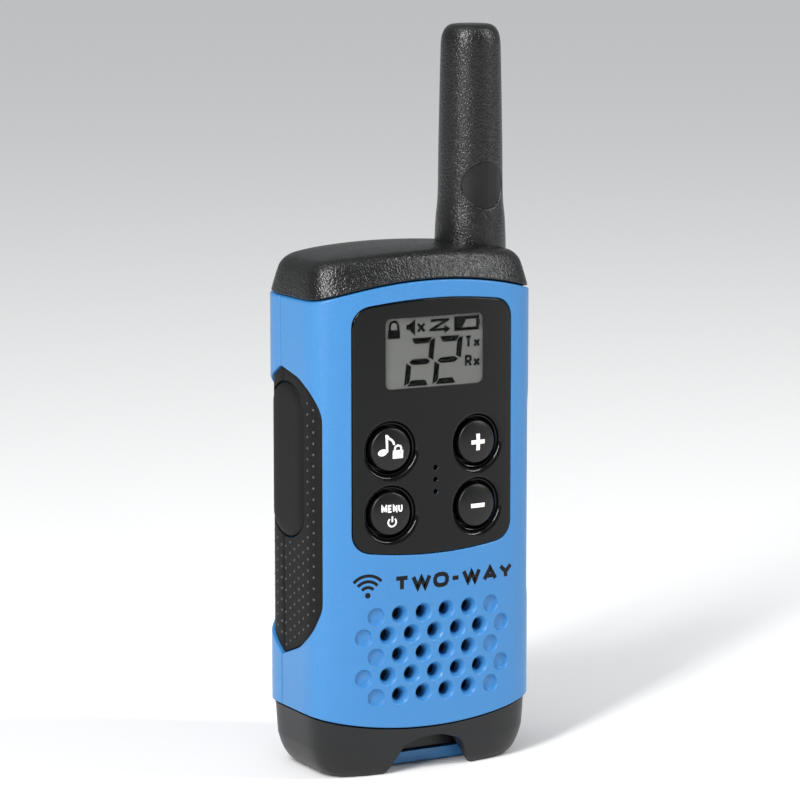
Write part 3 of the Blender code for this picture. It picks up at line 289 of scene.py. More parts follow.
def rounded(corners: Corners, grow: float, steps: int = 10) -> Array:
    """A convex outline, anticlockwise, grown outwards, with an arc at each corner.

    Each corner moves out along the bisector until both its sides have moved by grow, and its arc
    of radius + grow touches both sides.

    Args:
        corners: (u, v, radius) of each corner in mm.
        grow: how far the sides move out, in metres.
        steps: parts of each arc.

    Returns:
        The points (u, v) in metres.
    """
    given = np.array(corners, float) * MM
    here, radius = given[:, :2], given[:, 2]
    radius = np.where(radius > 0, np.maximum(radius + grow, 0.02 * MM), 0.0)
    back = here - np.roll(here, 1, 0)
    back /= np.linalg.norm(back, axis=1, keepdims=True)
    ahead = np.roll(back, -1, 0)
    out = np.stack([back[:, 1] + ahead[:, 1], -back[:, 0] - ahead[:, 0]], 1)
    out /= np.linalg.norm(out, axis=1, keepdims=True)
    facing = out[:, 0] * ahead[:, 1] - out[:, 1] * ahead[:, 0]
    tip = here + out * (grow / facing)[:, None]
    middle = tip - out * (radius / facing)[:, None]
    start = np.arctan2(-back[:, 0], back[:, 1])
    turn = (np.arctan2(-ahead[:, 0], ahead[:, 1]) - start) % (2 * math.pi)
    angle = start[:, None] + turn[:, None] * np.linspace(0, 1, steps + 1)
    arcs = middle[:, None] + radius[:, None, None] * np.stack([np.cos(angle), np.sin(angle)], -1)
    return arcs.reshape(-1, 2)


@dataclass(frozen=True)
class Outline:
    """A convex outline that can grow, read as a lower and an upper edge over the same u.

    low and high cut it off at a line of constant u, which grows with it.
    """

    corners: Corners
    samples: int = 44
    low: float = -math.inf
    high: float = math.inf

    def edges(self, grow: float = 0.0) -> tuple[Array, Array, Array]:
        """u, and the lower and upper v there; u is closer together towards both ends, by a cosine.

        Args:
            grow: how far the outline grows, in metres.

        Returns:
            u, the lower v and the upper v.
        """
        points = rounded(self.corners, grow)
        left, right = points[:, 0].min(), points[:, 0].max()
        first, last = max(left, self.low - grow), min(right, self.high + grow)
        u = (first + last) / 2 - (last - first) / 2 * np.cos(np.linspace(0, math.pi, self.samples))
        return u, self.limit(points, u, -1), self.limit(points, u, 1)

    @staticmethod
    def limit(points: Array, u: Array, side: int) -> Array:
        """The lowest (side -1) or highest (side 1) v of the outline at each u.

        Args:
            points: the outline's points.
            u: where it is read.
            side: -1 for the lowest, 1 for the highest.

        Returns:
            v at each u.
        """
        start, end = points, np.roll(points, -1, 0)
        run = end[:, 0] - start[:, 0]
        chosen = (side * run < 0) & (np.abs(run) > 1e-9)
        start, end = start[chosen], end[chosen]
        knots = np.concatenate([start, end])
        order = np.lexsort((side * -knots[:, 1], knots[:, 0]))
        return np.interp(u, knots[order, 0], knots[order, 1])

    def holds(self, u: Array, v: Array, grow: float = 0.0) -> Array:
        """Whether each point is inside the outline after it has grown.

        Args:
            u: first coordinates.
            v: second coordinates.
            grow: how far the outline grows, in metres.

        Returns:
            A flag for each point.
        """
        line, lower, upper = self.edges(grow)
        inside = (u > line[0]) & (u < line[-1])
        return inside & (v > np.interp(u, line, lower)) & (v < np.interp(u, line, upper))


def plate(name: str, outline: Outline, profile: Profile, surface: Surface, rows: int = 2) -> Thing:
    """A solid whose outline grows and sinks along a profile, on a curved surface.

    At each step the outline is filled by a grid: v = lower + share (upper - lower). The first and
    last grids close the solid, and the rims of the others make its side.

    Args:
        name: the object's name.
        outline: the outline at no growth.
        profile: (grow, depth) in metres, from one face to the other.
        surface: gives positions from u, v and depth.
        rows: rows of points across each face.

    Returns:
        The new object.
    """
    share = np.linspace(0, 1, rows)[:, None]
    grids = []
    for grow, depth in profile:
        u, lower, upper = outline.edges(grow)
        v = lower + share * (upper - lower)
        grids.append(surface(np.broadcast_to(u, v.shape), v, depth))
    rims = np.array([np.concatenate([g[0], g[1:-1, -1], g[-1, ::-1], g[-2:0:-1, 0]]) for g in grids])
    count, around = rims.shape[:2]
    fill = grid_faces(rows, outline.samples)
    size = rows * outline.samples
    points = np.concatenate([grids[0].reshape(-1, 3), grids[-1].reshape(-1, 3), rims.reshape(-1, 3)])
    return piece(name, points, [fill, fill + size, grid_faces(count, around, True) + 2 * size])


def fillet(radius: float, steps: int = 5, first: float = 0.0) -> Array:
    """(inset, depth) of a quarter round from the face (radius, 0) to the side (0, radius).

    inset = radius (1 - sin a), depth = radius (1 - cos a), for a from first to 90 degrees.
    """
    angle = np.linspace(math.radians(first), math.pi / 2, steps + 1)
    return radius * np.stack([1 - np.sin(angle), 1 - np.cos(angle)], 1)


def mouth(radius: float, depth: float, grow: float = 0.0) -> Array:
    """The (grow, depth) profile of a cutter whose mouth is rounded: it flares out at the surface.

    Args:
        radius: the rounding of the mouth's edge.
        depth: how deep the cutter goes.
        grow: clearance added all round.

    Returns:
        The profile, from 1 mm above the surface down.
    """
    lead = np.array([(radius * 1.25, -1 * MM), (radius * 1.25, -radius * 0.12)])
    return np.vstack([lead, fillet(radius, 4, 20), (0.0, depth)]) + (grow, 0.0)


def brow(radius: float, depth: float, sides: int = 4) -> Array:
    """The (grow, depth) profile of a plate whose face has a rounded edge and whose back is flat."""
    return np.vstack([fillet(radius, sides) * (-1, 1), (0.0, depth)])


def smooth_line(points: Sequence[tuple[float, ...]], parts: int = 6) -> Array:
    """A curve through points: cubic pieces whose slope at a point is half the step between its neighbours.

    Args:
        points: the points, in order.
        parts: parts of each piece of the curve.

    Returns:
        The points of the curve.
    """
    given = np.array(points, float)
    slope = np.gradient(given, axis=0)
    t = np.linspace(0, 1, parts, endpoint=False)[None, :, None]
    start, end, leave, arrive = given[:-1, None], given[1:, None], slope[:-1, None], slope[1:, None]
    curve = ((2 * t**3 - 3 * t**2 + 1) * start + (t**3 - 2 * t**2 + t) * leave
             + (-2 * t**3 + 3 * t**2) * end + (t**3 - t**2) * arrive)
    return np.concatenate([curve.reshape(-1, given.shape[1]), given[-1:]])


def box_corners(half: float, low: float, high: float, radius: float, middle: float = 0.0) -> Corners:
    """Corners in mm of an upright box about a middle, from sizes in metres."""
    half, low, high, radius, middle = (value / MM for value in (half, low, high, radius, middle))
    return ((middle - half, low, radius), (middle + half, low, radius), (middle + half, high, radius),
            (middle - half, high, radius))


# ------------------------------------------------------------------ body

@dataclass(frozen=True)
class BodyForm:
    """The body's section, faces and seams, read from the frame.

    The section is |x/a|^6 + |y/b|^6 = 1, and b shrinks with x^2, which bows the faces.
    """

    half_width: float = edge("front_housing", 1, 0)
    half_depth: float = -edge("front_housing", 0, 1)
    power: float = 6.0
    front_bow: float = 170.0 * MM
    rear_bow: float = 400.0 * MM
    gap: float = 0.3 * MM
    parting: float = edge("front_housing", 1, 1) + 0.15 * MM
    top_radius: float = 92.0 * MM
    foot_radius: float = 101.0 * MM
    top_height: float = edge("front_housing", 1, 2) + 0.15 * MM
    foot_height: float = edge("front_housing", 0, 2) - 0.15 * MM
    turn_weight: float = 12.0 * MM

    def outline(self, angle: Array, side: float = 0.0, front: float = 0.0,
                rear: float = 0.0) -> tuple[Array, Array]:
        """x and y of the section at angles from the front, with insets at the side, front and rear.

        Args:
            angle: angles from the front.
            side: inset at both sides.
            front: inset at the front.
            rear: inset at the rear.

        Returns:
            x and y.
        """
        s, c = np.sin(angle), np.cos(angle)
        x = (self.half_width - side) * np.sign(s) * np.abs(s) ** (2 / self.power)
        ahead = self.half_depth - front - x**2 / (2 * self.front_bow)
        behind = self.half_depth - rear - x**2 / (2 * self.rear_bow)
        return x, np.where(c > 0, -ahead, behind) * np.abs(c) ** (2 / self.power)

    def angles(self, start: float, end: float, count: int) -> Array:
        """Angles from start to end, evenly spaced by length plus a weight for turning.

        Args:
            start: the first angle.
            end: the last angle.
            count: how many.

        Returns:
            The angles.
        """
        fine = np.linspace(start, end, 12001)
        x, y = self.outline(fine)
        heading = np.unwrap(np.arctan2(np.diff(y), np.diff(x)))
        turning = np.abs(np.diff(heading, prepend=heading[0]))
        steps = np.hypot(np.diff(x), np.diff(y)) + self.turn_weight * turning
        travelled = np.concatenate([[0.0], np.cumsum(steps)])
        return np.interp(np.linspace(0, travelled[-1], count), travelled, fine)

    def ring(self, side: float, front: float, rear: float, count: int = 26) -> tuple[Array, Array]:
        """x and y of a closed ring of 4 * count points that starts at the left side.

        Args:
            side: inset at both sides.
            front: inset at the front.
            rear: inset at the rear.
            count: points to a quarter.

        Returns:
            x and y.
        """
        quarter = self.angles(0.0, math.pi / 2, count + 1)
        ahead = np.concatenate([-quarter[::-1], quarter[1:]])
        return self.outline(np.concatenate([ahead, (math.pi - ahead)[::-1][1:-1]]), side, front, rear)

    def edge_angle(self, y: float, side: float = 0.0, face: float = 0.0) -> float:
        """The angle at which the section's side passes a y.

        Args:
            y: where the side is passed.
            side: inset at the side.
            face: inset at the front or rear.

        Returns:
            The angle, from the front.
        """
        x = self.half_width - side
        bow = self.rear_bow if y > 0 else self.front_bow
        reach = self.half_depth - face - x**2 / (2 * bow)
        return math.acos(-math.copysign((abs(y) / reach) ** (self.power / 2), y))

    def reach(self, x: Array, bow: float) -> Array:
        """How far the face with a bow's radius stands from the middle plane at x."""
        share = np.clip(np.abs(np.asarray(x) / self.half_width), 0, 0.999) ** self.power
        return (self.half_depth - np.asarray(x) ** 2 / (2 * bow)) * (1 - share) ** (1 / self.power)

    def side(self, y: Array, inset: float = 0.0) -> Array:
        """x of the right side at y, read off the section."""
        x, along = self.outline(np.linspace(0.02, math.pi - 0.02, 2001), inset, inset, inset)
        return np.interp(y, along, x)

    def on_front(self, u: Array, v: Array, depth: Array) -> Array:
        """Positions on the front face: u is x, v is z, and depth goes in."""
        return np.stack([u, depth - self.reach(u, self.front_bow), v], -1)

    def on_rear(self, u: Array, v: Array, depth: Array) -> Array:
        """Positions on the rear face: u is x, v is z, and depth goes in."""
        return np.stack([u, self.reach(u, self.rear_bow) - depth, v], -1)

    def on_side(self, sign: int) -> Surface:
        """Positions on the left (-1) or right (1) side: u is y, v is z, and depth goes in."""
        return lambda u, v, depth: np.stack([sign * self.side(u, float(depth)), u, v], -1)

    def sag(self, x: Array, radius: float) -> Array:
        """How far an arc of a radius has turned away from its top at x."""
        return radius - np.sqrt(radius**2 - np.asarray(x) ** 2)

    def top(self, x: Array) -> Array:
        """Height of the seam under the top cap."""
        return self.top_height - self.sag(x, self.top_radius)

    def foot(self, x: Array) -> Array:
        """Height of the seam over the foot."""
        return self.foot_height + self.sag(x, self.foot_radius)


BODY = BodyForm()


def flat_y(u: Array, v: Array, depth: Array) -> Array:
    """Positions with u as x, v as z and depth as y."""
    return np.stack([u, np.broadcast_to(depth, np.shape(u)), v], -1)


def flat_z(u: Array, v: Array, depth: Array) -> Array:
    """Positions with u as x, v as y and depth as z."""
    return np.stack([u, v, np.broadcast_to(depth, np.shape(u))], -1)


def flat_x(u: Array, v: Array, depth: Array) -> Array:
    """Positions with u as y, v as z and depth as x."""
    return np.stack([np.broadcast_to(depth, np.shape(u)), u, v], -1)


def block(name: str, low: Sequence[float], high: Sequence[float], radius: float = 0.2) -> Thing:
    """An upright block between two corners in mm, its vertical edges rounded by a radius in mm.

    Args:
        name: the object's name.
        low: its low corner.
        high: its high corner.
        radius: rounding of its upright edges.

    Returns:
        The new object.
    """
    middle, half = (low[0] + high[0]) / 2, (high[0] - low[0]) / 2
    corners = ((middle - half, low[1], radius), (middle + half, low[1], radius),
               (middle + half, high[1], radius), (middle - half, high[1], radius))
    return plate(name, Outline(corners, 20), [(0, low[2] * MM), (0, high[2] * MM)], flat_z)


def rod(name: str, start: Sequence[float], end: Sequence[float], radius: float, steps: int = 32) -> Thing:
    """A cylinder between two points in mm.

    Args:
        name: the object's name.
        start: the middle of one end.
        end: the middle of the other end.
        radius: its radius in mm.
        steps: points round it.

    Returns:
        The new object.
    """
    first, last = np.array(start) * MM, np.array(end) * MM
    path = first + (last - first) * np.linspace(0, 1, 3)[:, None]
    return tube(name, path, radius * MM, steps)


# ------------------------------------------------------------------ finishes

class Pattern(Enum):
    """What a finish draws over its plain colour."""

    MOULDED = "moulded"
    LEATHER = "leather"
    BRUSHED = "brushed"
    WOVEN = "woven"
    BOARD = "board"


def shader_group(name: str, inputs: Sequence[tuple[str, str, float]], outputs: Sequence[tuple[str, str]],
                 ) -> tuple[Tree, bpy.types.Node, bpy.types.Node]:
    """A new shader node group with named sockets.

    Args:
        name: the group's name.
        inputs: (socket name, socket type, default) of each input.
        outputs: (socket name, socket type) of each output.

    Returns:
        The tree and its input and output nodes.
    """
    tree = bpy.data.node_groups.new(name, "ShaderNodeTree")
    for label, kind, default in inputs:
        socket = tree.interface.new_socket(name=label, in_out="INPUT", socket_type=kind)
        if kind == "NodeSocketFloat":
            socket.default_value = default
    for label, kind in outputs:
        tree.interface.new_socket(name=label, in_out="OUTPUT", socket_type=kind)
    return tree, tree.nodes.new("NodeGroupInput"), tree.nodes.new("NodeGroupOutput")


def add_node(tree: Tree, kind: str, inputs: dict[str | int, object], **settings: object) -> bpy.types.Node:
    """Add a node.

    Args:
        tree: the node tree.
        kind: the node's type, without its leading "ShaderNode".
        inputs: a socket to link or a plain value for each named input.
        settings: the node's own properties.

    Returns:
        The node.
    """
    node = tree.nodes.new("ShaderNode" + kind)
    for label, value in settings.items():
        setattr(node, label, value)
    for label, value in inputs.items():
        if isinstance(value, Socket):
            tree.links.new(value, node.inputs[label])
        else:
            node.inputs[label].default_value = value
    return node


def math_node(tree: Tree, operation: str, first: object, second: object) -> Socket:
    """A Math node whose two inputs are sockets or numbers."""
    return add_node(tree, "Math", {0: first, 1: second}, operation=operation).outputs[0]


def noise_node(tree: Tree, vector: Socket, scale: object, detail: float) -> Socket:
    """A Noise Texture's value at a vector; its scale is a socket or a number."""
    return add_node(tree, "TexNoise", {"Vector": vector, "Scale": scale, "Detail": detail}).outputs[0]


def spread_node(tree: Tree, value: Socket, low: float, high: float, start: float, stop: float) -> Socket:
    """A Map Range node: value from start..stop becomes low..high, clamped."""
    inputs = {"Value": value, "From Min": start, "From Max": stop, "To Min": low, "To Max": high}
    return add_node(tree, "MapRange", inputs).outputs[0]


@dataclass
class Effects:
    """The node groups that several finishes share, each built once."""

    grain: Tree = field(init=False)
    tone: Tree = field(init=False)
    rub: Tree = field(init=False)

    def __post_init__(self) -> None:
        """Build the groups."""
        self.grain = self.build_grain()
        self.tone = self.build_tone()
        self.rub = self.build_rub()

    @staticmethod
    def build_grain() -> Tree:
        """Moulded grain: rounded cells of one size, broken up by finer noise."""
        tree, given, made = shader_group(
            "moulded_grain", [("Vector", "NodeSocketVector", 0), ("Cells", "NodeSocketFloat", 2500.0),
                              ("Rough", "NodeSocketFloat", 0.35)], [("Height", "NodeSocketFloat")])
        vector, scale = given.outputs["Vector"], given.outputs["Cells"]
        cells = add_node(tree, "TexVoronoi", {"Vector": vector, "Scale": scale}, feature="SMOOTH_F1")
        fine = noise_node(tree, vector, math_node(tree, "MULTIPLY", scale, 1.7), 3.0)
        dome = math_node(tree, "SUBTRACT", 1.0, cells.outputs["Distance"])
        rough = math_node(tree, "MULTIPLY", fine, given.outputs["Rough"])
        tree.links.new(math_node(tree, "ADD", dome, rough), made.inputs["Height"])
        return tree

    @staticmethod
    def build_tone() -> Tree:
        """Tone drift: a colour a little lighter and darker in soft patches and fine specks."""
        tree, given, made = shader_group(
            "tone_drift", [("Vector", "NodeSocketVector", 0), ("Color", "NodeSocketColor", 0),
                           ("Drift", "NodeSocketFloat", 0.06), ("Specks", "NodeSocketFloat", 0.03)],
            [("Color", "NodeSocketColor")])
        broad = noise_node(tree, given.outputs["Vector"], 38.0, 2.0)
        fine = noise_node(tree, given.outputs["Vector"], 2600.0, 2.0)
        around = [math_node(tree, "MULTIPLY", math_node(tree, "SUBTRACT", value, 0.5), given.outputs[name])
                  for value, name in ((broad, "Drift"), (fine, "Specks"))]
        value = math_node(tree, "ADD", math_node(tree, "ADD", around[0], around[1]), 1.0)
        shift = add_node(tree, "HueSaturation", {"Color": given.outputs["Color"], "Value": value})
        tree.links.new(shift.outputs["Color"], made.inputs["Color"])
        return tree

    @staticmethod
    def build_rub() -> Tree:
        """Rubbed patches: roughness that drifts where hands and cloths have polished it."""
        tree, given, made = shader_group(
            "rubbed_patches", [("Vector", "NodeSocketVector", 0), ("Roughness", "NodeSocketFloat", 0.4),
                               ("Amount", "NodeSocketFloat", 0.08)], [("Roughness", "NodeSocketFloat")])
        patches = noise_node(tree, given.outputs["Vector"], 90.0, 5.0)
        swing = math_node(tree, "SUBTRACT", patches, 0.5)
        swing = math_node(tree, "MULTIPLY", swing, given.outputs["Amount"])
        tree.links.new(math_node(tree, "ADD", given.outputs["Roughness"], swing), made.inputs["Roughness"])
        return tree


@dataclass(frozen=True)
class Finish:
    """One finish: a colour with drift and specks, a grain that lifts the surface, and its gloss."""

    name: str
    colour: tuple[float, float, float]
    roughness: float
    pattern: Pattern = Pattern.MOULDED
    cell: float = 0.30 * MM
    lift: float = 0.006 * MM
    rough_grain: float = 0.35
    drift: float = 0.06
    specks: float = 0.04
    rubbed: float = 0.06
    metallic: float = 0.0
    specular: float = 0.5
    coat: float = 0.0
    coat_roughness: float = 0.08

    def height(self, tree: Tree, vector: Socket, effects: Effects) -> Socket:
        """The height of the finish's own pattern.

        Args:
            tree: the material's node tree.
            vector: the Object coordinates.
            effects: the shared groups.

        Returns:
            The socket of the height.
        """
        if self.pattern is Pattern.WOVEN:
            inputs = {"Vector": vector, "Scale": 0.314 / self.cell}
            waves = [add_node(tree, "TexWave", inputs, bands_direction=way).outputs["Fac"] for way in "XZ"]
            return math_node(tree, "MULTIPLY", *waves)
        if self.pattern is Pattern.BRUSHED:
            stretch = add_node(tree, "Mapping", {"Vector": vector, "Scale": (1.0, 1.0, 0.08)})
            return noise_node(tree, stretch.outputs["Vector"], 1 / self.cell, 3.0)
        inputs = {"Vector": vector, "Cells": 1 / self.cell, "Rough": self.rough_grain}
        grain = add_node(tree, "Group", inputs, node_tree=effects.grain).outputs["Height"]
        if self.pattern is Pattern.LEATHER:
            creases = noise_node(tree, vector, 0.45 / self.cell, 2.0)
            return math_node(tree, "MULTIPLY", grain, spread_node(tree, creases, 0.55, 1.0, 0.3, 0.6))
        return grain

    def build(self, effects: Effects) -> bpy.types.Material:
        """Make the material from the shared groups.

        Args:
            effects: the shared groups.

        Returns:
            The material.
        """
        made = bpy.data.materials.new(self.name)
        made.use_nodes = True
        tree = made.node_tree
        shader = tree.nodes["Principled BSDF"]
        vector = tree.nodes.new("ShaderNodeTexCoord").outputs["Object"]
        inputs = {"Vector": vector, "Color": (*self.colour, 1.0), "Drift": self.drift, "Specks": self.specks}
        colour = add_node(tree, "Group", inputs, node_tree=effects.tone).outputs["Color"]
        if self.pattern is Pattern.BOARD:
            colour = self.traces(tree, vector, colour)
        tree.links.new(colour, shader.inputs["Base Color"])
        inputs = {"Vector": vector, "Roughness": self.roughness, "Amount": self.rubbed}
        rub = add_node(tree, "Group", inputs, node_tree=effects.rub)
        tree.links.new(rub.outputs["Roughness"], shader.inputs["Roughness"])
        bump = add_node(tree, "Bump", {"Distance": self.lift, "Height": self.height(tree, vector, effects)})
        tree.links.new(bump.outputs["Normal"], shader.inputs["Normal"])
        for label, value in (("Metallic", self.metallic), ("Specular IOR Level", self.specular),
                             ("Coat Weight", self.coat), ("Coat Roughness", self.coat_roughness)):
            shader.inputs[label].default_value = value
        return made

    @staticmethod
    def traces(tree: Tree, vector: Socket, colour: Socket) -> Socket:
        """Copper runs under the board's mask: lighter lines along the edges of square cells.

        Args:
            tree: the material's node tree.
            vector: the Object coordinates.
            colour: the mask's own colour.

        Returns:
            The socket of the mixed colour.
        """
        cells = add_node(tree, "TexVoronoi", {"Vector": vector, "Scale": 420.0}, distance="CHEBYCHEV",
                         feature="F1")
        mask = spread_node(tree, cells.outputs["Distance"], 0.0, 0.35, 0.42, 0.47)
        mix = tree.nodes.new("ShaderNodeMix")
        mix.data_type = "RGBA"
        tree.links.new(mask, mix.inputs["Factor"])
        tree.links.new(colour, mix.inputs["A"])
        mix.inputs["B"].default_value = (0.10, 0.34, 0.16, 1.0)
        return mix.outputs["Result"]


FINISHES = (
    Finish("blue_moulding", (0.0405, 0.204, 0.475), 0.31, cell=0.26 * MM, lift=0.045 * MM, drift=0.05,
           specks=0.05, specular=0.45),
    Finish("grained_black", (0.0045, 0.0046, 0.0048), 0.27, Pattern.LEATHER, cell=0.37 * MM, lift=0.13 * MM,
           drift=0.10, specks=0.10, specular=0.5),
    Finish("grained_rubber", (0.0045, 0.0046, 0.0048), 0.27, Pattern.LEATHER, cell=0.33 * MM, lift=0.11 * MM,
           drift=0.10, specks=0.10, specular=0.5),
    Finish("satin_black", (0.0055, 0.0055, 0.0057), 0.36, cell=0.16 * MM, lift=0.004 * MM, drift=0.08,
           specular=0.40),
    Finish("gloss_black", (0.0018, 0.0019, 0.0020), 0.13, cell=0.5 * MM, lift=0.0006 * MM, drift=0.10,
           specks=0.02, rubbed=0.04, specular=0.24),
    Finish("key_black", (0.0035, 0.0036, 0.0037), 0.34, cell=0.14 * MM, lift=0.0016 * MM, drift=0.10,
           specular=0.35),
    Finish("grip_rubber", (0.0065, 0.0065, 0.0067), 0.58, cell=0.11 * MM, lift=0.006 * MM, drift=0.14,
           specks=0.10, specular=0.16),
    Finish("grip_dots", (0.050, 0.050, 0.052), 0.42, cell=0.10 * MM, lift=0.002 * MM, specular=0.45),
    Finish("print_white", (0.88, 0.88, 0.87), 0.45, cell=0.10 * MM, lift=0.001 * MM, drift=0.03),
    Finish("print_black", (0.0040, 0.0042, 0.0048), 0.55, cell=0.10 * MM, lift=0.001 * MM, drift=0.05,
           specular=0.22),
    Finish("display_grey", (0.080, 0.080, 0.077), 0.40, cell=0.25 * MM, lift=0.0004 * MM, drift=0.04,
           specks=0.05),
    Finish("display_ink", (0.0008, 0.0008, 0.0008), 0.80, cell=0.2 * MM, lift=0.0003 * MM, drift=0.05,
           specular=0.0),
    Finish("bright_steel", (0.60, 0.60, 0.61), 0.27, Pattern.BRUSHED, cell=0.12 * MM, lift=0.002 * MM,
           metallic=1.0),
    Finish("dark_steel", (0.20, 0.20, 0.21), 0.32, Pattern.BRUSHED, cell=0.12 * MM, lift=0.002 * MM,
           metallic=1.0),
    Finish("sprung_brass", (0.71, 0.52, 0.23), 0.28, Pattern.BRUSHED, cell=0.14 * MM, lift=0.002 * MM,
           metallic=1.0),
    Finish("natural_nylon", (0.68, 0.66, 0.60), 0.50, cell=0.2 * MM, lift=0.003 * MM),
    Finish("cone_paper", (0.045, 0.041, 0.037), 0.85, cell=0.25 * MM, lift=0.02 * MM, rough_grain=0.8,
           drift=0.2),
    Finish("speaker_scrim", (0.012, 0.012, 0.013), 0.80, Pattern.WOVEN, cell=0.35 * MM, lift=0.05 * MM),
    Finish("solder_mask", (0.018, 0.125, 0.055), 0.38, Pattern.BOARD, cell=0.3 * MM, lift=0.003 * MM,
           coat=0.4),
    Finish("chip_epoxy", (0.018, 0.018, 0.019), 0.55, cell=0.12 * MM, lift=0.004 * MM),
    Finish("cell_jacket", (0.040, 0.135, 0.065), 0.30, cell=0.3 * MM, lift=0.0008 * MM, coat=0.5),
    Finish("cell_band", (0.62, 0.44, 0.16), 0.30, cell=0.3 * MM, lift=0.0008 * MM, metallic=0.8),
    Finish("red_wire", (0.46, 0.025, 0.020), 0.45, cell=0.2 * MM, lift=0.002 * MM),
    Finish("milky_plastic", (0.70, 0.71, 0.70), 0.30, cell=0.4 * MM, lift=0.001 * MM),
)


@dataclass
class Paint:
    """Every material of the radio, made once and found by the name of its finish."""

    effects: Effects = field(default_factory=Effects)
    made: dict[str, bpy.types.Material] = field(default_factory=dict)

    def __post_init__(self) -> None:
        """Build each finish and the window's clear material."""
        for finish in FINISHES:
            self.made[finish.name] = finish.build(self.effects)
        self.made["clear_window"] = self.clear("clear_window", (0.96, 0.97, 0.96), 0.015)

    def __getitem__(self, name: str) -> bpy.types.Material:
        """The material of a finish."""
        return self.made[name]

    def clear(self, name: str, colour: tuple[float, float, float], roughness: float) -> bpy.types.Material:
        """A clear plastic that lets light through to what is behind it.

        Args:
            name: the material's name.
            colour: its linear colour.
            roughness: its gloss; fine rubbing drifts round this value.

        Returns:
            The material.
        """
        made = bpy.data.materials.new(name)
        made.use_nodes = True
        tree = made.node_tree
        shader, output = tree.nodes["Principled BSDF"], tree.nodes["Material Output"]
        shader.inputs["Base Color"].default_value = (*colour, 1.0)
        shader.inputs["Transmission Weight"].default_value = 1.0
        shader.inputs["IOR"].default_value = 1.15
        inputs = {"Vector": tree.nodes.new("ShaderNodeTexCoord").outputs["Object"], "Roughness": roughness,
                  "Amount": 0.015}
        rub = add_node(tree, "Group", inputs, node_tree=self.effects.rub)
        tree.links.new(rub.outputs["Roughness"], shader.inputs["Roughness"])
        through, mix, path = (tree.nodes.new(kind) for kind in (
            "ShaderNodeBsdfTransparent", "ShaderNodeMixShader", "ShaderNodeLightPath"))
        tree.links.new(path.outputs["Is Shadow Ray"], mix.inputs["Fac"])
        tree.links.new(shader.outputs["BSDF"], mix.inputs[1])
        tree.links.new(through.outputs["BSDF"], mix.inputs[2])
        tree.links.new(mix.outputs["Shader"], output.inputs["Surface"])
        return made


# ------------------------------------------------------------------ prints

def ribbon(name: str, line: Sequence[tuple[float, float]], width: float, surface: Surface,
           lift: float = 0.03 * MM, closed: bool = False) -> Thing:
    """A thin printed stroke: its centreline is offset by half its width to both sides, mitred at corners.

    Args:
        name: the object's name.
        line: centreline points in mm.
        width: the stroke's width in mm.
        surface: gives positions from u, v and depth.
        lift: how far the print stands on the surface.
        closed: whether the line returns to its start.

    Returns:
        The new object.
    """
    points = np.array([*line, line[0]] if closed and line[0] != line[-1] else line, float) * MM
    length = np.concatenate([[0.0], np.cumsum(np.hypot(*np.diff(points, axis=0).T))])
    parts = max(2, int(length[-1] / (0.35 * MM)))
    at = np.unique(np.concatenate([length, np.linspace(0, length[-1], parts + 1)]).round(9))
    path = np.stack([np.interp(at, length, points[:, axis]) for axis in (0, 1)], 1)
    way = np.diff(path, axis=0)
    way /= np.linalg.norm(way, axis=1, keepdims=True)
    before = np.vstack([way[-1:] if closed else way[:1], way])
    after = np.vstack([way, way[:1] if closed else way[-1:]])
    along = before + after
    along /= np.maximum(np.linalg.norm(along, axis=1, keepdims=True), 1e-6)
    reach = width * MM / 2 / np.maximum((along * after).sum(1), 0.5)
    side = np.stack([-along[:, 1], along[:, 0]], 1) * reach[:, None]
    left, right = path + side, path - side
    corners = [(left, lift), (left, -lift), (right, -lift), (right, lift)]
    rings = np.stack([surface(*place.T, np.full(len(path), depth)) for place, depth in corners], 1)
    faces = [grid_faces(len(path), 4, True)]
    if not closed:
        faces += [np.array([[0, 1, 2, 3]]), np.array([[0, 1, 2, 3]]) + (len(path) - 1) * 4]
    return piece(name, rings, faces)


def pad(name: str, corners: Corners, surface: Surface, lift: float = 0.03 * MM) -> Thing:
    """A thin printed convex patch with corners in mm."""
    return plate(name, Outline(corners, 12), [(0, -lift), (0, lift)], surface, rows=3)


def oval(u: float, v: float, half_width: float, half_height: float, steps: int = 16) -> Corners:
    """Corners of an oval about (u, v), in mm."""
    angle = np.arange(steps) * 2 * math.pi / steps
    return [(u + half_width * math.cos(a), v + half_height * math.sin(a), 0.0) for a in angle]


# Each letter: its width in heights, and its strokes in a unit square
STROKES = {
    "T": (1.0, (((0, 1), (1, 1)), ((.5, 1), (.5, 0)))),
    "W": (1.45, (((0, 1), (.27, 0), (.5, .85), (.73, 0), (1, 1)),)),
    "O": (1.1, (((.32, 0), (.68, 0), (.9, .12), (1, .36), (1, .64), (.9, .88), (.68, 1), (.32, 1), (.1, .88),
                 (0, .64), (0, .36), (.1, .12), (.32, 0)),)),
    "-": (0.55, (((0, .5), (1, .5)),)),
    "A": (1.1, (((0, 0), (.5, 1), (1, 0)), ((.2, .3), (.8, .3)))),
    "Y": (1.05, (((0, 1), (.5, .45), (1, 1)), ((.5, .5), (.5, 0)))),
    "R": (1.0, (((0, 0), (0, 1), (.72, 1), (.95, .88), (.95, .62), (.72, .48), (0, .48)),
                ((.5, .48), (1, 0)))),
    "M": (1.25, (((0, 0), (0, 1), (.5, .3), (1, 1), (1, 0)),)),
    "E": (0.85, (((1, 1), (0, 1), (0, 0), (1, 0)), ((0, .5), (.85, .5)))),
    "N": (1.0, (((0, 0), (0, 1), (1, 0), (1, 1)),)),
    "U": (1.0, (((0, 1), (0, .3), (.12, .08), (.35, 0), (.65, 0), (.88, .08), (1, .3), (1, 1)),)),
    "x": (1.0, (((0, 0), (1, .66)), ((0, .66), (1, 0)))),
}


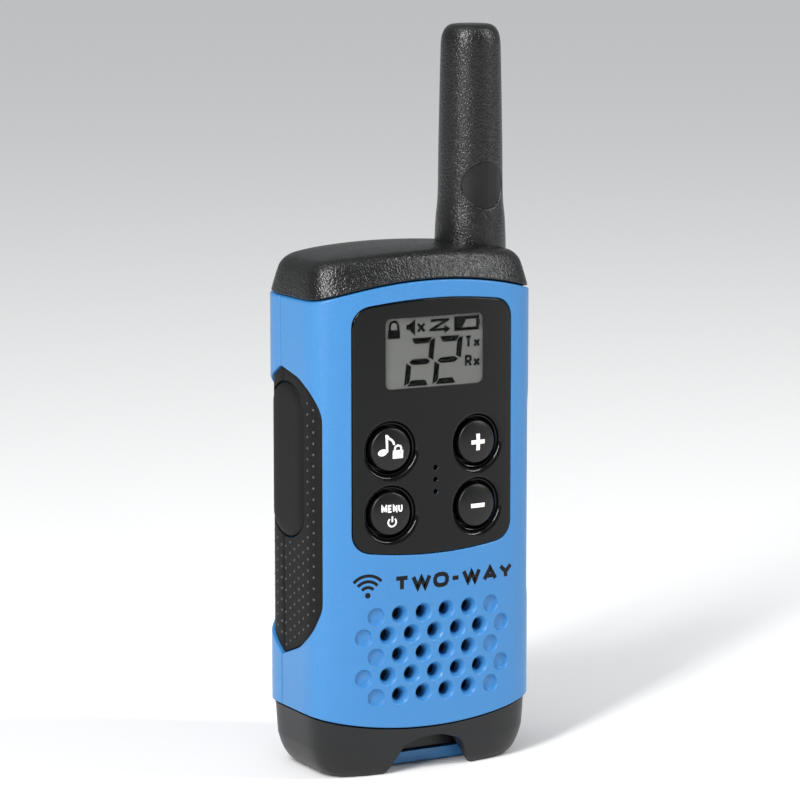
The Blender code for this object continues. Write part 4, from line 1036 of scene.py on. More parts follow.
def printed(words: str, width: float, height: float, u: float, v: float, stroke: float,
            surface: Surface, lift: float = 0.03 * MM) -> list[Thing]:
    """Plain letters drawn in strokes of one weight, fitted into a box about (u, v).

    Args:
        words: what is printed.
        width: the width of the print in mm.
        height: its height in mm.
        u: its middle along the surface in mm.
        v: its middle up the surface in mm.
        stroke: the strokes' width in mm.
        surface: gives positions from u, v and depth.
        lift: how far the print stands on the surface.

    Returns:
        One object for each stroke; each stands a little off the ones before it.
    """
    spans = [STROKES[letter][0] for letter in words]
    gap = stroke * 1.5
    unit = (width - stroke - gap * (len(words) - 1)) / sum(spans)
    left, made = u - (width - stroke) / 2, []
    for letter, span in zip(words, spans):
        for line in STROKES[letter][1]:
            points = [(left + x * span * unit, v + (y - 0.5) * (height - stroke)) for x, y in line]
            made.append(ribbon("print", points, stroke, surface, lift + len(made) % 3 * 0.001 * MM,
                               closed=line[0] == line[-1]))
        left += span * unit + gap
    return made


# ------------------------------------------------------------------ housings

def panel_outline(grow: float = 0.0) -> Outline:
    """The front panel: straight sides, and both ends bowed outwards by an arc of 110 mm.

    Args:
        grow: how far the outline grows, in metres.

    Returns:
        The outline, its corners drawn out into points.
    """
    half = edge("front_panel", 1, 0) / MM
    low, high = edge("front_panel", 0, 2) / MM, edge("front_panel", 1, 2) / MM
    across = [half * share for share in np.linspace(-1, 1, 11)]
    sag = [float(BODY.sag(x * MM, 110.0 * MM)) / MM for x in across]
    radii = [4.2 if abs(x) > half * 0.99 else 0.0 for x in across]
    under = [(x, low + drop, radius) for x, drop, radius in zip(across, sag, radii)]
    over = [(x, high - drop, radius) for x, drop, radius in zip(across, sag, radii)]
    grown = rounded(under + over[::-1], grow, 6) / MM
    apart = np.hypot(*(grown - np.roll(grown, 1, 0)).T) > 0.01
    return Outline([(u, v, 0.0) for u, v in grown[apart]], 56)


@dataclass
class Housings:
    """The two blue shells: the body's section carried between its arched seams."""

    paint: Paint
    wall: float = 3.5 * MM
    edge_round: float = 0.35 * MM
    chamfer: float = 0.20 * MM
    points: int = 61
    screw_way: Profile = ((0, -1), (2.45, -1), (2.4, -.05), (2.2, .1), (2.1, .3), (2.1, 3.7), (1.3, 3.7),
                          (1.3, 14), (0, 14))

    def chain(self, rear: bool, inset: float, face: float) -> Array:
        """x and y along one half of the section, from the right parting edge to the left or back.

        Args:
            rear: whether it is the rear half.
            inset: inset at the side.
            face: inset at the front or rear.

        Returns:
            The points, (points, 2).
        """
        part = BODY.parting + (0.5 if rear else -0.5) * BODY.gap
        turn = BODY.edge_angle(part + (self.chamfer if rear else -self.chamfer), inset, face)
        start, end = (turn, 2 * math.pi - turn) if rear else (-turn, turn)
        x, y = BODY.outline(BODY.angles(start, end, self.points), inset, face, face)
        first, last = x[[0, -1]] - self.chamfer * np.sign(x[[0, -1]])
        return np.vstack([(first, part), np.stack([x, y], 1), (last, part)])

    def rings(self, rear: bool) -> Array:
        """Rings of the wall from foot to top, with both ends' outer edges rounded.

        Args:
            rear: whether it is the rear half.

        Returns:
            Positions, (rings, points, 3).
        """
        inner = self.chain(rear, self.wall, self.wall)[::-1]
        made = []
        steps = fillet(self.edge_round, 4)
        for side, levels in ((-1, steps), (1, steps[::-1])):
            for inset, sink in levels:
                ring = np.vstack([self.chain(rear, inset, inset), inner])
                seam = (BODY.foot if side < 0 else BODY.top)(ring[:, 0]) - side * BODY.gap / 2
                level = np.where(np.arange(len(ring)) < len(ring) // 2, sink, 0.0)
                made.append(np.column_stack([ring, seam - side * level]))
        return np.array(made)

    def button_opening(self, name: str) -> Thing:
        """The cutter of the side button's opening, on the left side."""
        opening = Outline(SideGrips.button, 40)
        return plate(name, opening, mouth(0.2 * MM, 6.0 * MM, 0.3 * MM), BODY.on_side(-1))

    def grip_pocket(self, name: str, sign: int) -> Thing:
        """The cutter of a grip's pocket."""
        pocket = Outline(SideGrips.leaf, 60)
        return plate(name, pocket, mouth(0.3 * MM, 1.5 * MM, 0.28 * MM), BODY.on_side(sign))

    def front(self) -> None:
        """The front shell, with its panel pocket, openings and speaker grille."""
        made = loft("front_shell", self.rings(False), wall=True)
        pocket = plate("panel_pocket", panel_outline(), mouth(0.25 * MM, 1.5 * MM, 0.15 * MM),
                       BODY.on_front)
        display = block("display_opening", (-13.9, -18, 81.5), (13.9, -8, 100.9))
        keys = turned("key_openings", np.array([(0, 1.0), (6.7, 1.0), (6.7, 6.5), (0, 6.5)]) * MM,
                      Keys.places(), 64, BODY.on_front)
        ear = turned("microphone_opening", np.array([(0, 1.0), (1.8, 1.0), (1.8, 6), (0, 6)]) * MM,
                     np.array([(0.0, centre("microphone").z)]), 32, BODY.on_front)
        carve(made, self.grip_pocket("left_pocket", -1), self.grip_pocket("right_pocket", 1),
              self.button_opening("button_opening"), pocket, display, keys, ear, *Grille().cutters())
        dress(made, self.paint["blue_moulding"], "radio", "front_housing", slot="blue_plastic")

    def rear(self) -> None:
        """The rear shell, with its battery bay, cover pocket, screw ways and clip recess."""
        made = loft("rear_shell", self.rings(True), wall=True)
        bay = block("bay_walls", (-17.7, 1.5, 14.3), (17.7, 12.3, 71.3), 0.6)
        carve(made, bay, operation="UNION")
        room = block("bay_room", (-16.6, 2.6, 15.4), (16.6, 20, 70.2), 1.0)
        cover = plate("cover_pocket", Outline(box_corners(17.9 * MM, 14.6 * MM, 75.5 * MM, 1.2 * MM)),
                      mouth(0.25 * MM, 1.9 * MM, 0.25 * MM), BODY.on_rear)
        tail = plate("tail_pocket", Outline(box_corners(12.2 * MM, -5.0 * MM, 15.6 * MM, 0.0)),
                     [(0.25 * MM, -1 * MM), (0.25 * MM, 6 * MM)], BODY.on_rear)
        slots = [block(f"hook_slot_{x}", (x - 2.6, 10.9, 71.9), (x + 2.6, 13.55, 77.9)) for x in (-9, 9)]
        places = upright_centres([f"housing_screw_{number}" for number in range(1, 5)])
        ways = turned("screw_ways", np.array(self.screw_way) * MM, places, 40, BODY.on_rear)
        clip = plate("clip_recess", Outline(box_corners(7.5 * MM, 81 * MM, 99 * MM, 1.0 * MM)),
                     mouth(0.3 * MM, 0.8 * MM), BODY.on_rear)
        carve(made, room, cover, tail, *slots, ways, clip, self.grip_pocket("left_pocket", -1),
              self.grip_pocket("right_pocket", 1), self.button_opening("button_opening"))
        dress(made, self.paint["blue_moulding"], "radio", "rear_housing", slot="blue_plastic")


@dataclass(frozen=True)
class Grille:
    """The speaker grille: staggered rows of funnels, with blind dimples at the row ends."""

    pitch: float = 5.61 * MM
    row_pitch: float = 4.39 * MM
    low: float = 17.75 * MM
    funnel: Profile = ((0, -.9), (2.8, -.9), (2.5, -.04), (2.32, 0.0), (2.14, .05), (1.96, .18), (1.80, .40),
                       (1.64, .68), (1.48, .98), (1.34, 1.28), (1.26, 1.6), (1.26, 6.5), (0, 6.5))
    dimple: Profile = ((0, -.9), (2.5, -.9), (2.25, -.03), (2.05, 0.0), (1.93, .08), (1.83, .26), (1.76, .52),
                       (1.66, .74), (1.48, .85), (0, .88))

    def places(self, blind: bool) -> Array:
        """Centres (x, z) of the open funnels or of the blind dimples."""
        rows = (((-1.5, -.5, .5, 1.5), (-2.5, 2.5)), ((-2, -1, 0, 1, 2), (-3, 3)))
        return np.array([(column * self.pitch, self.low + row * self.row_pitch)
                         for row in range(5) for column in rows[row % 2][blind]])

    def cutters(self) -> list[Thing]:
        """The cutters of the openings and of the dimples."""
        return [turned("grille_openings", np.array(self.funnel) * MM, self.places(False), 40, BODY.on_front),
                turned("grille_dimples", np.array(self.dimple) * MM, self.places(True), 40, BODY.on_front)]


# ------------------------------------------------------------------ cap and foot

@dataclass
class EndCaps:
    """The grained cap over the top and the satin foot: rings of the body's section, stepped inwards."""

    paint: Paint
    cap_steps: Sequence[tuple[float, float, float, float]] = (
        (.5, .5, 0.0, 0), (.24, .24, .28, 0), (.3, .4, .7, .02), (.6, 1.2, 2.2, .2), (1.3, 2.2, 4.2, .6),
        (2.0, 2.8, 4.95, .78), (2.7, 3.5, 5.42, .88), (3.9, 4.6, 5.78, .95), (7.5, 7.5, 6.08, 1),
        (13, 11, 6.28, 1))
    cap_lip: Sequence[tuple[float, float, float, float]] = (
        (4, 4, -2, 0), (4, 4, -.27, 0), (1.1, 1.1, -.27, 0), (.9, .9, 0, 0))
    foot_steps: Sequence[tuple[float, float, float]] = (
        (6.4, 3.6, 0.0), (5.4, 3.1, .12), (4.3, 2.7, .55), (3.2, 2.25, 1.4), (2.2, 1.8, 2.9),
        (1.5, 1.35, 4.7), (1.0, 1.0, 6.6))
    foot_lip: Profile = ((.62, .35), (.5, .12), (.62, .02), (.9, 0.0), (1.1, -.27), (4.0, -.27), (4.0, -2.0))
    arch: Corners = ((-11.3, -1.0, 0), (11.3, -1.0, 0), (6.9, 6.3, 2.4), (2.5, 7.7, 6.0), (-2.5, 7.7, 6.0),
                     (-6.9, 6.3, 2.4))

    def cap(self) -> None:
        """The top cap: its height follows the seam's arc at the rim and a flatter arc on top."""
        rings = []
        for side, front, rise, share in [*self.cap_lip, *smooth_line(self.cap_steps, 4)]:
            x, y = BODY.ring(side * MM, front * MM, front * MM, 34)
            flatter = share * (BODY.sag(x, BODY.top_radius) - BODY.sag(x, 180.0 * MM))
            rings.append(np.column_stack([x, y, BODY.top(x) + BODY.gap / 2 + rise * MM + flatter]))
        made = loft("cap_skin", np.array(rings))
        dress(made, self.paint["grained_black"], "radio", "top_cap", slot="black_plastic", angle=60)

    def foot(self) -> None:
        """The foot, with the finger arch in front and the slot that the latch lies in."""
        rings = []
        for side, front, level in smooth_line(self.foot_steps, 3):
            x, y = BODY.ring(side * MM, front * MM, front * MM, 34)
            rings.append(np.column_stack([x, y, np.full_like(x, level * MM)]))
        for inset, below in self.foot_lip:
            x, y = BODY.ring(inset * MM, inset * MM, inset * MM, 34)
            rings.append(np.column_stack([x, y, BODY.foot(x) - BODY.gap / 2 - below * MM]))
        made = loft("foot_skin", np.array(rings))
        slot = block("latch_slot", (-12.9, -10.2, -1), (12.9, 20, 7.7), 1.0)
        reach = np.array([(0.28, -17), (0.28, -14.6), (0.1, -14.1), (0, -13.6), (0, -8)]) * MM
        arch = plate("finger_arch", Outline(self.arch), reach, flat_y)
        carve(made, slot, arch)
        carve(made, block("pocket_wall", (-13.2, -6.6, 3.5), (13.2, -5.4, 8.2)), operation="UNION")
        dress(made, self.paint["satin_black"], "radio", "bottom_cap", slot="black_plastic", angle=40)


@dataclass
class Antenna:
    """The stubby antenna: a profile turned about its own axis, with a blank sunk medallion."""

    paint: Paint
    middle: tuple[float, float] = (17.9 * MM, 1.4 * MM)
    profile: Sequence[tuple[float, float]] = (
        (7.78, 108.9), (7.74, 111.5), (7.66, 114.0), (7.50, 117.2), (7.16, 120.6), (7.02, 124.0),
        (6.93, 132.0), (6.78, 140.0), (6.62, 148.0), (6.5, 153.0), (6.42, 155.0), (6.15, 156.6),
        (5.55, 157.9), (4.6, 158.7), (3.4, 158.97), (1.6, 159.0))
    medallion: float = 124.7 * MM
    medallion_radius: float = 5.2 * MM

    def curve(self) -> Array:
        """Radius and height along the profile, in metres."""
        return smooth_line(self.profile, 4) * MM

    def on_face(self, u: Array, v: Array, depth: Array) -> Array:
        """Positions on the sleeve from the front: sin a = u / radius, and depth shortens the radius.

        Args:
            u: distance to the right of the axis.
            v: height.
            depth: depth below the sleeve.

        Returns:
            The positions.
        """
        curve = self.curve()
        radius = np.interp(v, curve[:, 1], curve[:, 0])
        turn = np.arcsin(np.clip(u / radius, -1, 1))
        return np.stack([self.middle[0] + (radius - depth) * np.sin(turn),
                         self.middle[1] - (radius - depth) * np.cos(turn), v], -1)

    def build(self) -> None:
        """The sleeve."""
        curve = np.vstack([(0.0, 108.9 * MM), self.curve(), (0.0, 159.0 * MM)])
        angle = np.arange(112) * 2 * math.pi / 112
        across = self.middle[0] + curve[:, :1] * np.sin(angle)
        ahead = self.middle[1] - curve[:, :1] * np.cos(angle)
        rings = np.stack([across, ahead, np.broadcast_to(curve[:, 1:], across.shape)], -1)
        made = piece("antenna_skin", rings, [grid_faces(len(curve), len(angle), True)])
        rim = self.medallion_radius / MM
        out = [(rim * share, -0.9) for share in (0, .2, .4, .6, .8, .95, 1.06)]
        floor = [(rim * share, 0.28) for share in (.96, .8, .6, .4, .2, 0)]
        profile = np.array(out + [(rim + .1, -.02), (rim, .03), (rim - .08, .12)] + floor) * MM
        carve(made, turned("medallion_recess", profile, np.array([(0.0, self.medallion)]), 72, self.on_face))
        dress(made, self.paint["grained_rubber"], "radio", "antenna_sleeve", slot="black_rubber", angle=30)
        smooth = np.array([(rim * share, 0.20) for share in (0, .2, .4, .6, .8, .955)]
                          + [(rim * share, 0.31) for share in (.955, .8, .6, .4, .2, 0)]) * MM
        disc = turned("medallion_floor", smooth, np.array([(0.0, self.medallion)]), 72, self.on_face)
        dress(disc, self.paint["satin_black"], "radio", slot="black_rubber")


# ------------------------------------------------------------------ front panel, display and keys

@dataclass
class FrontPanel:
    """The gloss black panel, the window level with it, and the display's ink."""

    paint: Paint
    window_half: float = 11.85 * MM
    window_low: float = 83.75 * MM
    window_high: float = 98.76 * MM
    film_depth: float = 0.62 * MM
    dish: Profile = ((0, -.9), (7.1, -.9), (6.85, -.04), (6.68, 0.0), (6.45, .06), (6.2, .18), (5.98, .38),
                     (5.80, .64), (5.68, .90), (5.60, 1.02), (5.45, 1.06), (5.38, 1.1), (5.38, 2.0), (0, 2.0))
    sound_hole: Profile = ((0, -.6), (.75, -.6), (.62, -.01), (.5, .08), (.45, .2), (.45, 3), (0, 3))
    sound_pitch: float = 2.6 * MM

    def build(self) -> None:
        """Panel, window and ink."""
        made = plate("panel_face", panel_outline(), brow(0.3 * MM, 1.2 * MM), BODY.on_front)
        window = Outline(box_corners(self.window_half, self.window_low, self.window_high, 1.2 * MM), 40)
        hole = plate("window_hole", window, mouth(0.12 * MM, 3 * MM), BODY.on_front)
        dishes = turned("key_dishes", np.array(self.dish) * MM, Keys.places(), 72, BODY.on_front)
        places = np.array([(0.0, centre("microphone").z + shift * self.sound_pitch) for shift in (-1, 0, 1)])
        ear = turned("microphone_hole", np.array(self.sound_hole) * MM, places, 28, BODY.on_front)
        carve(made, hole, dishes, ear)
        dress(made, self.paint["gloss_black"], "radio", "front_panel", slot="panel_plastic")
        steps = brow(0.12 * MM, 0.47 * MM, 3) + (-0.05 * MM, 0.03 * MM)
        lens = plate("window_lens", window, steps, BODY.on_front)
        dress(lens, self.paint["clear_window"], "radio", "display_window", slot="display_window")
        steps = [(-0.06 * MM, self.film_depth), (-0.06 * MM, 1.4 * MM)]
        film = plate("display_film", window, steps, BODY.on_front)
        dress(film, self.paint["display_grey"], "radio", slot="display_glass")
        self.ink()

    def place(self, u: float, v: float) -> tuple[float, float]:
        """A point in mm from its shares of the window's width, and of its height counted from the top."""
        down = v * (self.window_high - self.window_low)
        return (2 * u - 1) * self.window_half / MM, (self.window_high - down) / MM

    def line(self, points: Sequence[tuple[float, float]], width: float, closed: bool = False) -> Thing:
        """An ink stroke between points given as shares of the window."""
        return ribbon("ink", [self.place(u, v) for u, v in points], width, self.surface, 0.02 * MM, closed)

    def surface(self, u: Array, v: Array, depth: Array) -> Array:
        """Positions just in front of the display's film."""
        return BODY.on_front(u + 0.05 * MM, v - 0.05 * MM, self.film_depth - 0.07 * MM + np.asarray(depth))

    def patch(self, points: Sequence[tuple[float, float]]) -> Thing:
        """A filled convex ink patch, its corners anticlockwise, as shares of the window."""
        return pad("ink", [(*self.place(u, v), 0.0) for u, v in points], self.surface, 0.02 * MM)

    def ink(self) -> None:
        """The shown segments: padlock, muted speaker, an arrow, battery, channel digits, Tx and Rx."""
        thin, marks = 0.60, []
        marks += [self.patch(((.030, .285), (.148, .285), (.148, .160), (.030, .160))),
                  self.line(((.048, .17), (.048, .095), (.062, .055), (.089, .040), (.116, .055),
                             (.130, .095), (.130, .17)), 0.52)]
        marks += [self.patch(((.211, .170), (.245, .170), (.245, .095), (.211, .095))),
                  self.patch(((.240, .172), (.298, .262), (.298, .022), (.240, .092))),
                  self.line(((.325, .095), (.392, .205)), thin),
                  self.line(((.325, .205), (.392, .095)), thin)]
        marks += [self.line(((.455, .062), (.630, .062), (.455, .195), (.640, .195)), thin),
                  self.patch(((.595, .255), (.660, .195), (.595, .135)))]
        marks += [self.line(((.712, .055), (.945, .055), (.945, .215), (.712, .215)), 0.72, closed=True),
                  self.patch(((.945, .175), (.970, .175), (.970, .095), (.945, .095))),
                  self.patch(((.725, .205), (.775, .205), (.830, .065), (.725, .065)))]
        for left in (.196, .482):
            marks += self.digit(left)
        for word, high, low in (("Tx", .315, .49), ("Rx", .59, .765)):
            (left, top), (right, bottom) = self.place(.810, high), self.place(.975, low)
            marks += printed(word, right - left, top - bottom, (left + right) / 2, (top + bottom) / 2, .58,
                             self.surface, 0.02 * MM)
        dress(gathered("display_segments", marks), self.paint["display_ink"], "radio", slot="display_glass")

    def digit(self, left: float) -> list[Thing]:
        """The figure 2 in leaning seven-segment strokes, whose ends are cut at a slant.

        Args:
            left: the digit's left side, as a share of the window.

        Returns:
            One object for each segment.
        """
        half, gap = 0.64, 0.06
        (west, top), (east, bottom) = self.place(left + .040, .335), self.place(left + .258, .930)
        middle, lean = (top + bottom) / 2, 0.105

        def at(x: float, z: float) -> tuple[float, float, float]:
            """A corner, shifted to the right as it rises."""
            return x + lean * (z - middle), z, 0.0

        def level(z: float, above: float, below: float) -> list[tuple[float, float, float]]:
            """A level segment: its long edges are cut short above and below by the given amounts."""
            return [at(west + gap + below, z - half), at(east - gap - below, z - half),
                    at(east - gap - above, z + half), at(west + gap + above, z + half)]

        def upright(x: float, low: float, high: float, outer: int) -> list[tuple[float, float, float]]:
            """An upright segment, longer along its outer edge."""
            short, long = (half * 1.2, 0.1) if outer > 0 else (0.1, half * 1.2)
            return [at(x - half, low + short), at(x + half, low + long), at(x + half, high - long),
                    at(x - half, high - short)]

        cut = 1.3 * half
        waist = [at(west + gap, middle), at(west + cut, middle - half), at(east - cut, middle - half),
                 at(east - gap, middle), at(east - cut, middle + half), at(west + cut, middle + half)]
        shapes = [level(top, 0.1, cut), waist, level(bottom, cut, 0.1),
                  upright(east, middle + gap, top + half - gap, 1),
                  upright(west, bottom - half + gap, middle - gap, -1)]
        return [pad("ink", shape, self.surface, 0.02 * MM) for shape in shapes]


@dataclass
class Keys:
    """The four round keys: domes that lean with the face, each with a printed legend."""

    paint: Paint
    radius: float = 4.62 * MM
    peak: float = -0.22 * MM
    rise: float = 0.62 * MM
    bend: float = 0.35 * MM
    padlock: Sequence[tuple[Sequence[tuple[float, float]], float]] = (
        (((.82, -1.9), (.82, -.42), (2.98, -.42), (2.98, -1.9)), .32),
        (((1.2, -.74), (1.2, -1.62), (2.6, -1.62), (2.6, -.74)), .50),
        (((1.52, -1.05), (1.9, -.72), (2.28, -1.05), (1.9, -1.42)), .30))
    shackle: Sequence[tuple[float, float]] = (
        (1.15, -.35), (1.15, .2), (1.35, .55), (1.9, .72), (2.45, .55), (2.65, .2), (2.65, -.35))
    names: ClassVar[tuple[str, ...]] = ("key_call", "key_menu", "key_plus", "key_minus")

    @classmethod
    def places(cls) -> Array:
        """Centres (x, z) of the keys, from the frame."""
        return upright_centres(cls.names)

    def dome(self, away: Array) -> Array:
        """Depth of the dome at a distance from its middle: part of a circle's drop from its top."""
        share = np.clip(away / self.radius, 0, 1)
        return self.peak + self.rise * (1 - np.sqrt(1 - 0.80 * share**2)) / (1 - math.sqrt(0.20))

    def surface(self, place: Array) -> Surface:
        """Positions on the key at a place: u and v are offsets, and depth adds to the dome's own."""
        return lambda u, v, depth: BODY.on_front(place[0] + u, place[1] + v,
                                                 self.dome(np.hypot(u, v)) + depth)

    def build(self) -> None:
        """Four keys and their legends."""
        flat = self.radius - self.bend
        inner = np.linspace(0, flat, 12)
        rim = [(flat + self.bend * math.sin(a),
                self.dome(flat) + self.bend * (1 - math.cos(a)) + 0.10 * MM * math.sin(a))
               for a in np.linspace(0.4, math.pi / 2, 5)]
        tail = [(self.radius, 3.5 * MM), (5.6 * MM, 3.6 * MM), (5.6 * MM, 4.2 * MM), (0.0, 4.2 * MM)]
        profile = np.vstack([np.stack([inner, self.dome(inner)], 1), rim, tail])
        legends = (self.call_legend, self.menu_legend, self.plus_legend, self.minus_legend)
        for name, place, legend in zip(self.names, self.places(), legends):
            made = turned(name.replace("key_", "cap_of_"), profile, place[None], 72, BODY.on_front)
            dress(made, self.paint["key_black"], name, name, slot="black_plastic", angle=50)
            print_name = name.replace("key_", "legend_of_")
            dress(gathered(print_name, legend(self.surface(place))), self.paint["print_white"], name,
                  slot="black_plastic")

    def call_legend(self, key: Surface) -> list[Thing]:
        """A note for the call tone, and a padlock for the key lock, set a little left of the middle.

        Args:
            key: the key's surface.

        Returns:
            One object for each stroke.
        """
        def on(u: Array, v: Array, depth: Array) -> Array:
            """The key's surface, shifted."""
            return key(u - 0.55 * MM, v + 0.15 * MM, depth)

        tilt = 0.3
        head = [(u * math.cos(tilt) - v * math.sin(tilt) - 1.62,
                 u * math.sin(tilt) + v * math.cos(tilt) - .62, 0)
                for u, v, _ in oval(0, 0, 1.05, .72)]
        return [pad("legend", head, on), ribbon("legend", ((-.66, -.6), (-.66, 3.1)), .5, on),
                ribbon("legend", ((-.60, 2.95), (-.2, 2.35), (.45, 1.95), (.85, 1.45), (.95, .9)), .48, on),
                *[ribbon("legend", loop, width, on, closed=True) for loop, width in self.padlock],
                ribbon("legend", self.shackle, .42, on)]

    def plus_legend(self, on: Surface) -> list[Thing]:
        """A plus, in three strokes that don't overlap."""
        strokes = (((-1.7, 0), (1.7, 0)), ((0, .45), (0, 1.80)), ((0, -1.80), (0, -.45)))
        return [ribbon("legend", stroke, .90, on) for stroke in strokes]

    def minus_legend(self, on: Surface) -> list[Thing]:
        """A minus."""
        return [ribbon("legend", ((-1.75, 0), (1.75, 0)), .92, on)]

    def menu_legend(self, on: Surface) -> list[Thing]:
        """The word for the menu over a power sign.

        Args:
            on: the key's surface.

        Returns:
            One object for each stroke.
        """
        turn = np.linspace(math.radians(128), math.radians(412), 26)
        ring = [(.92 * math.cos(a), -1.75 + .92 * math.sin(a)) for a in turn]
        return [*printed("MENU", 4.9, 1.65, 0, 1.2, .36, on), ribbon("legend", ring, .36, on),
                ribbon("legend", ((0, -1.7), (0, -.45)), .36, on)]


# ------------------------------------------------------------------ grips and side button

@dataclass
class SideGrips:
    """The dotted rubber grips, each in a front and a rear part, and the side button on the left."""

    paint: Paint
    leaf: ClassVar[Corners] = (
        (4.5, 25.3, .6), (12.8, 30.8, 4), (12.8, 82.9, 4), (4.5, 87.4, .6), (-4.0, 85.6, 12),
        (-8.6, 83.0, 7.5), (-10.7, 79.3, 8), (-10.7, 36.9, 9), (-8.7, 32.2, 9), (-4.0, 28.4, 12))
    button: ClassVar[Corners] = (
        (-4.8, 54.0, 4), (2.7, 49.5, 9), (10.2, 54.0, 4), (10.2, 81.2, 4), (2.7, 85.9, 9), (-4.8, 81.2, 4))
    flange: ClassVar[Corners] = ((-5.7, 49, 2.5), (6.5, 49, 2.5), (6.5, 85.8, 2.5), (-5.7, 85.8, 2.5))
    grip_steps: Profile = ((-1.05, .60), (-.80, .61), (-.62, .66), (-.50, .68), (-.38, .62), (-.22, .60),
                           (-.10, .66), (0, .80), (0, 1.4))
    button_steps: Profile = ((-3.0, .18), (-2.2, .20), (-1.5, .25), (-.95, .34), (-.5, .50), (-.2, .72),
                             (-.05, 1.0), (0, 1.4), (0, 3.6))
    sink: float = 0.60 * MM
    dot_pitch: tuple[float, float] = (2.0 * MM, 2.39 * MM)

    def on_grip(self, sign: int) -> Surface:
        """Positions over a grip's face: u is y, v is z, and depth counts from the grip's own face."""
        return lambda u, v, depth: np.stack([sign * (BODY.side(u, self.sink) - depth), u, v], -1)

    def grip(self, sign: int, rear: bool) -> None:
        """One part of a grip: its rim is a soft step, and its dots stand inside it.

        Args:
            sign: -1 for the left grip, 1 for the right.
            rear: whether it is the rear part.
        """
        side, part = ("left", "right")[sign > 0], ("front", "rear")[rear]
        limits = {"low": BODY.parting + 0.12 * MM} if rear else {"high": BODY.parting - 0.12 * MM}
        outline = Outline(self.leaf, 44, **limits)
        made = plate(f"{side}_{part}_grip", outline, np.array(self.grip_steps) * MM, BODY.on_side(sign))
        if sign < 0:
            gap = mouth(0.2 * MM, 4 * MM, 0.25 * MM)
            carve(made, plate("button_gap", Outline(self.button, 40), gap, BODY.on_side(-1)))
        node = f"{side}_grip_{part}"
        dress(made, self.paint["grip_rubber"], "radio", node, slot="black_rubber")
        self.dots(sign, rear, f"{side}_{part}_dots")

    def dots(self, sign: int, rear: bool, name: str) -> None:
        """Raised dots in columns, alternate columns half a pitch lower, kept inside the rim.

        Args:
            sign: -1 for the left grip, 1 for the right.
            rear: whether they are on the rear part.
            name: the piece's name.
        """
        columns, rows = np.meshgrid(np.arange(-9, 10), np.arange(0, 34), indexing="ij")
        u = BODY.parting + (columns + (0.5 if rear else -0.5)) * self.dot_pitch[0]
        v = 20 * MM + rows * self.dot_pitch[1] + (columns % 2) * self.dot_pitch[1] / 2
        keep = Outline(self.leaf).holds(u, v, -1.35 * MM)
        keep &= (u > BODY.parting + 0.5 * MM) if rear else (u < BODY.parting - 0.5 * MM)
        if sign < 0:
            keep &= ~Outline(self.button).holds(u, v, 0.95 * MM)
        profile = np.array([(0, -.15), (.17, -.125), (.28, -.05), (.33, .04), (0, .06)]) * MM
        made = turned(name, profile, np.stack([u[keep], v[keep]], 1), 8, self.on_grip(sign))
        dress(made, self.paint["grip_dots"], "radio", slot="black_rubber", angle=60)

    def side_button(self) -> None:
        """The push-to-talk button: a pillow with a soft edge, a stem and the flange that holds it in."""
        made = plate("talk_button", Outline(self.button, 48), np.array(self.button_steps) * MM,
                     BODY.on_side(-1), rows=3)
        flange = plate("flange", Outline(self.flange, 24), [(0, -22.9 * MM), (0, -22.1 * MM)], flat_x)
        stem = rod("stem", (-23.0, 0, 67.4), (-21.35, 0, 67.4), 1.5, 24)
        carve(made, flange, stem, operation="UNION")
        dress(made, self.paint["grip_rubber"], "ptt_button", "ptt_button", slot="black_rubber", angle=40)

    def build(self) -> None:
        """Four grip parts and the button."""
        for sign in (-1, 1):
            for rear in (False, True):
                self.grip(sign, rear)
        self.side_button()


# ------------------------------------------------------------------ mark

@dataclass
class Mark:
    """A generic print in place of the maker's: nested signal arcs and the kind of radio."""

    paint: Paint
    middle: tuple[float, float] = (-16.0, 42.2)

    def build(self) -> None:
        """The print on the blue front."""
        prints = [pad("mark", oval(self.middle[0], self.middle[1] - 2.1, .62, .62), BODY.on_front)]
        for reach in (1.75, 3.0, 4.25):
            arc = [(self.middle[0] + reach * math.sin(a), self.middle[1] - 2.1 + reach * math.cos(a))
                   for a in np.linspace(-.82, .82, 18)]
            prints.append(ribbon("mark", arc, .66, BODY.on_front))
        prints += printed("TWO-WAY", 29.8, 3.3, 5.0, 42.0, .92, BODY.on_front)
        dress(gathered("printed_mark", prints), self.paint["print_black"], "radio", slot="black_plastic")


# ------------------------------------------------------------------ battery

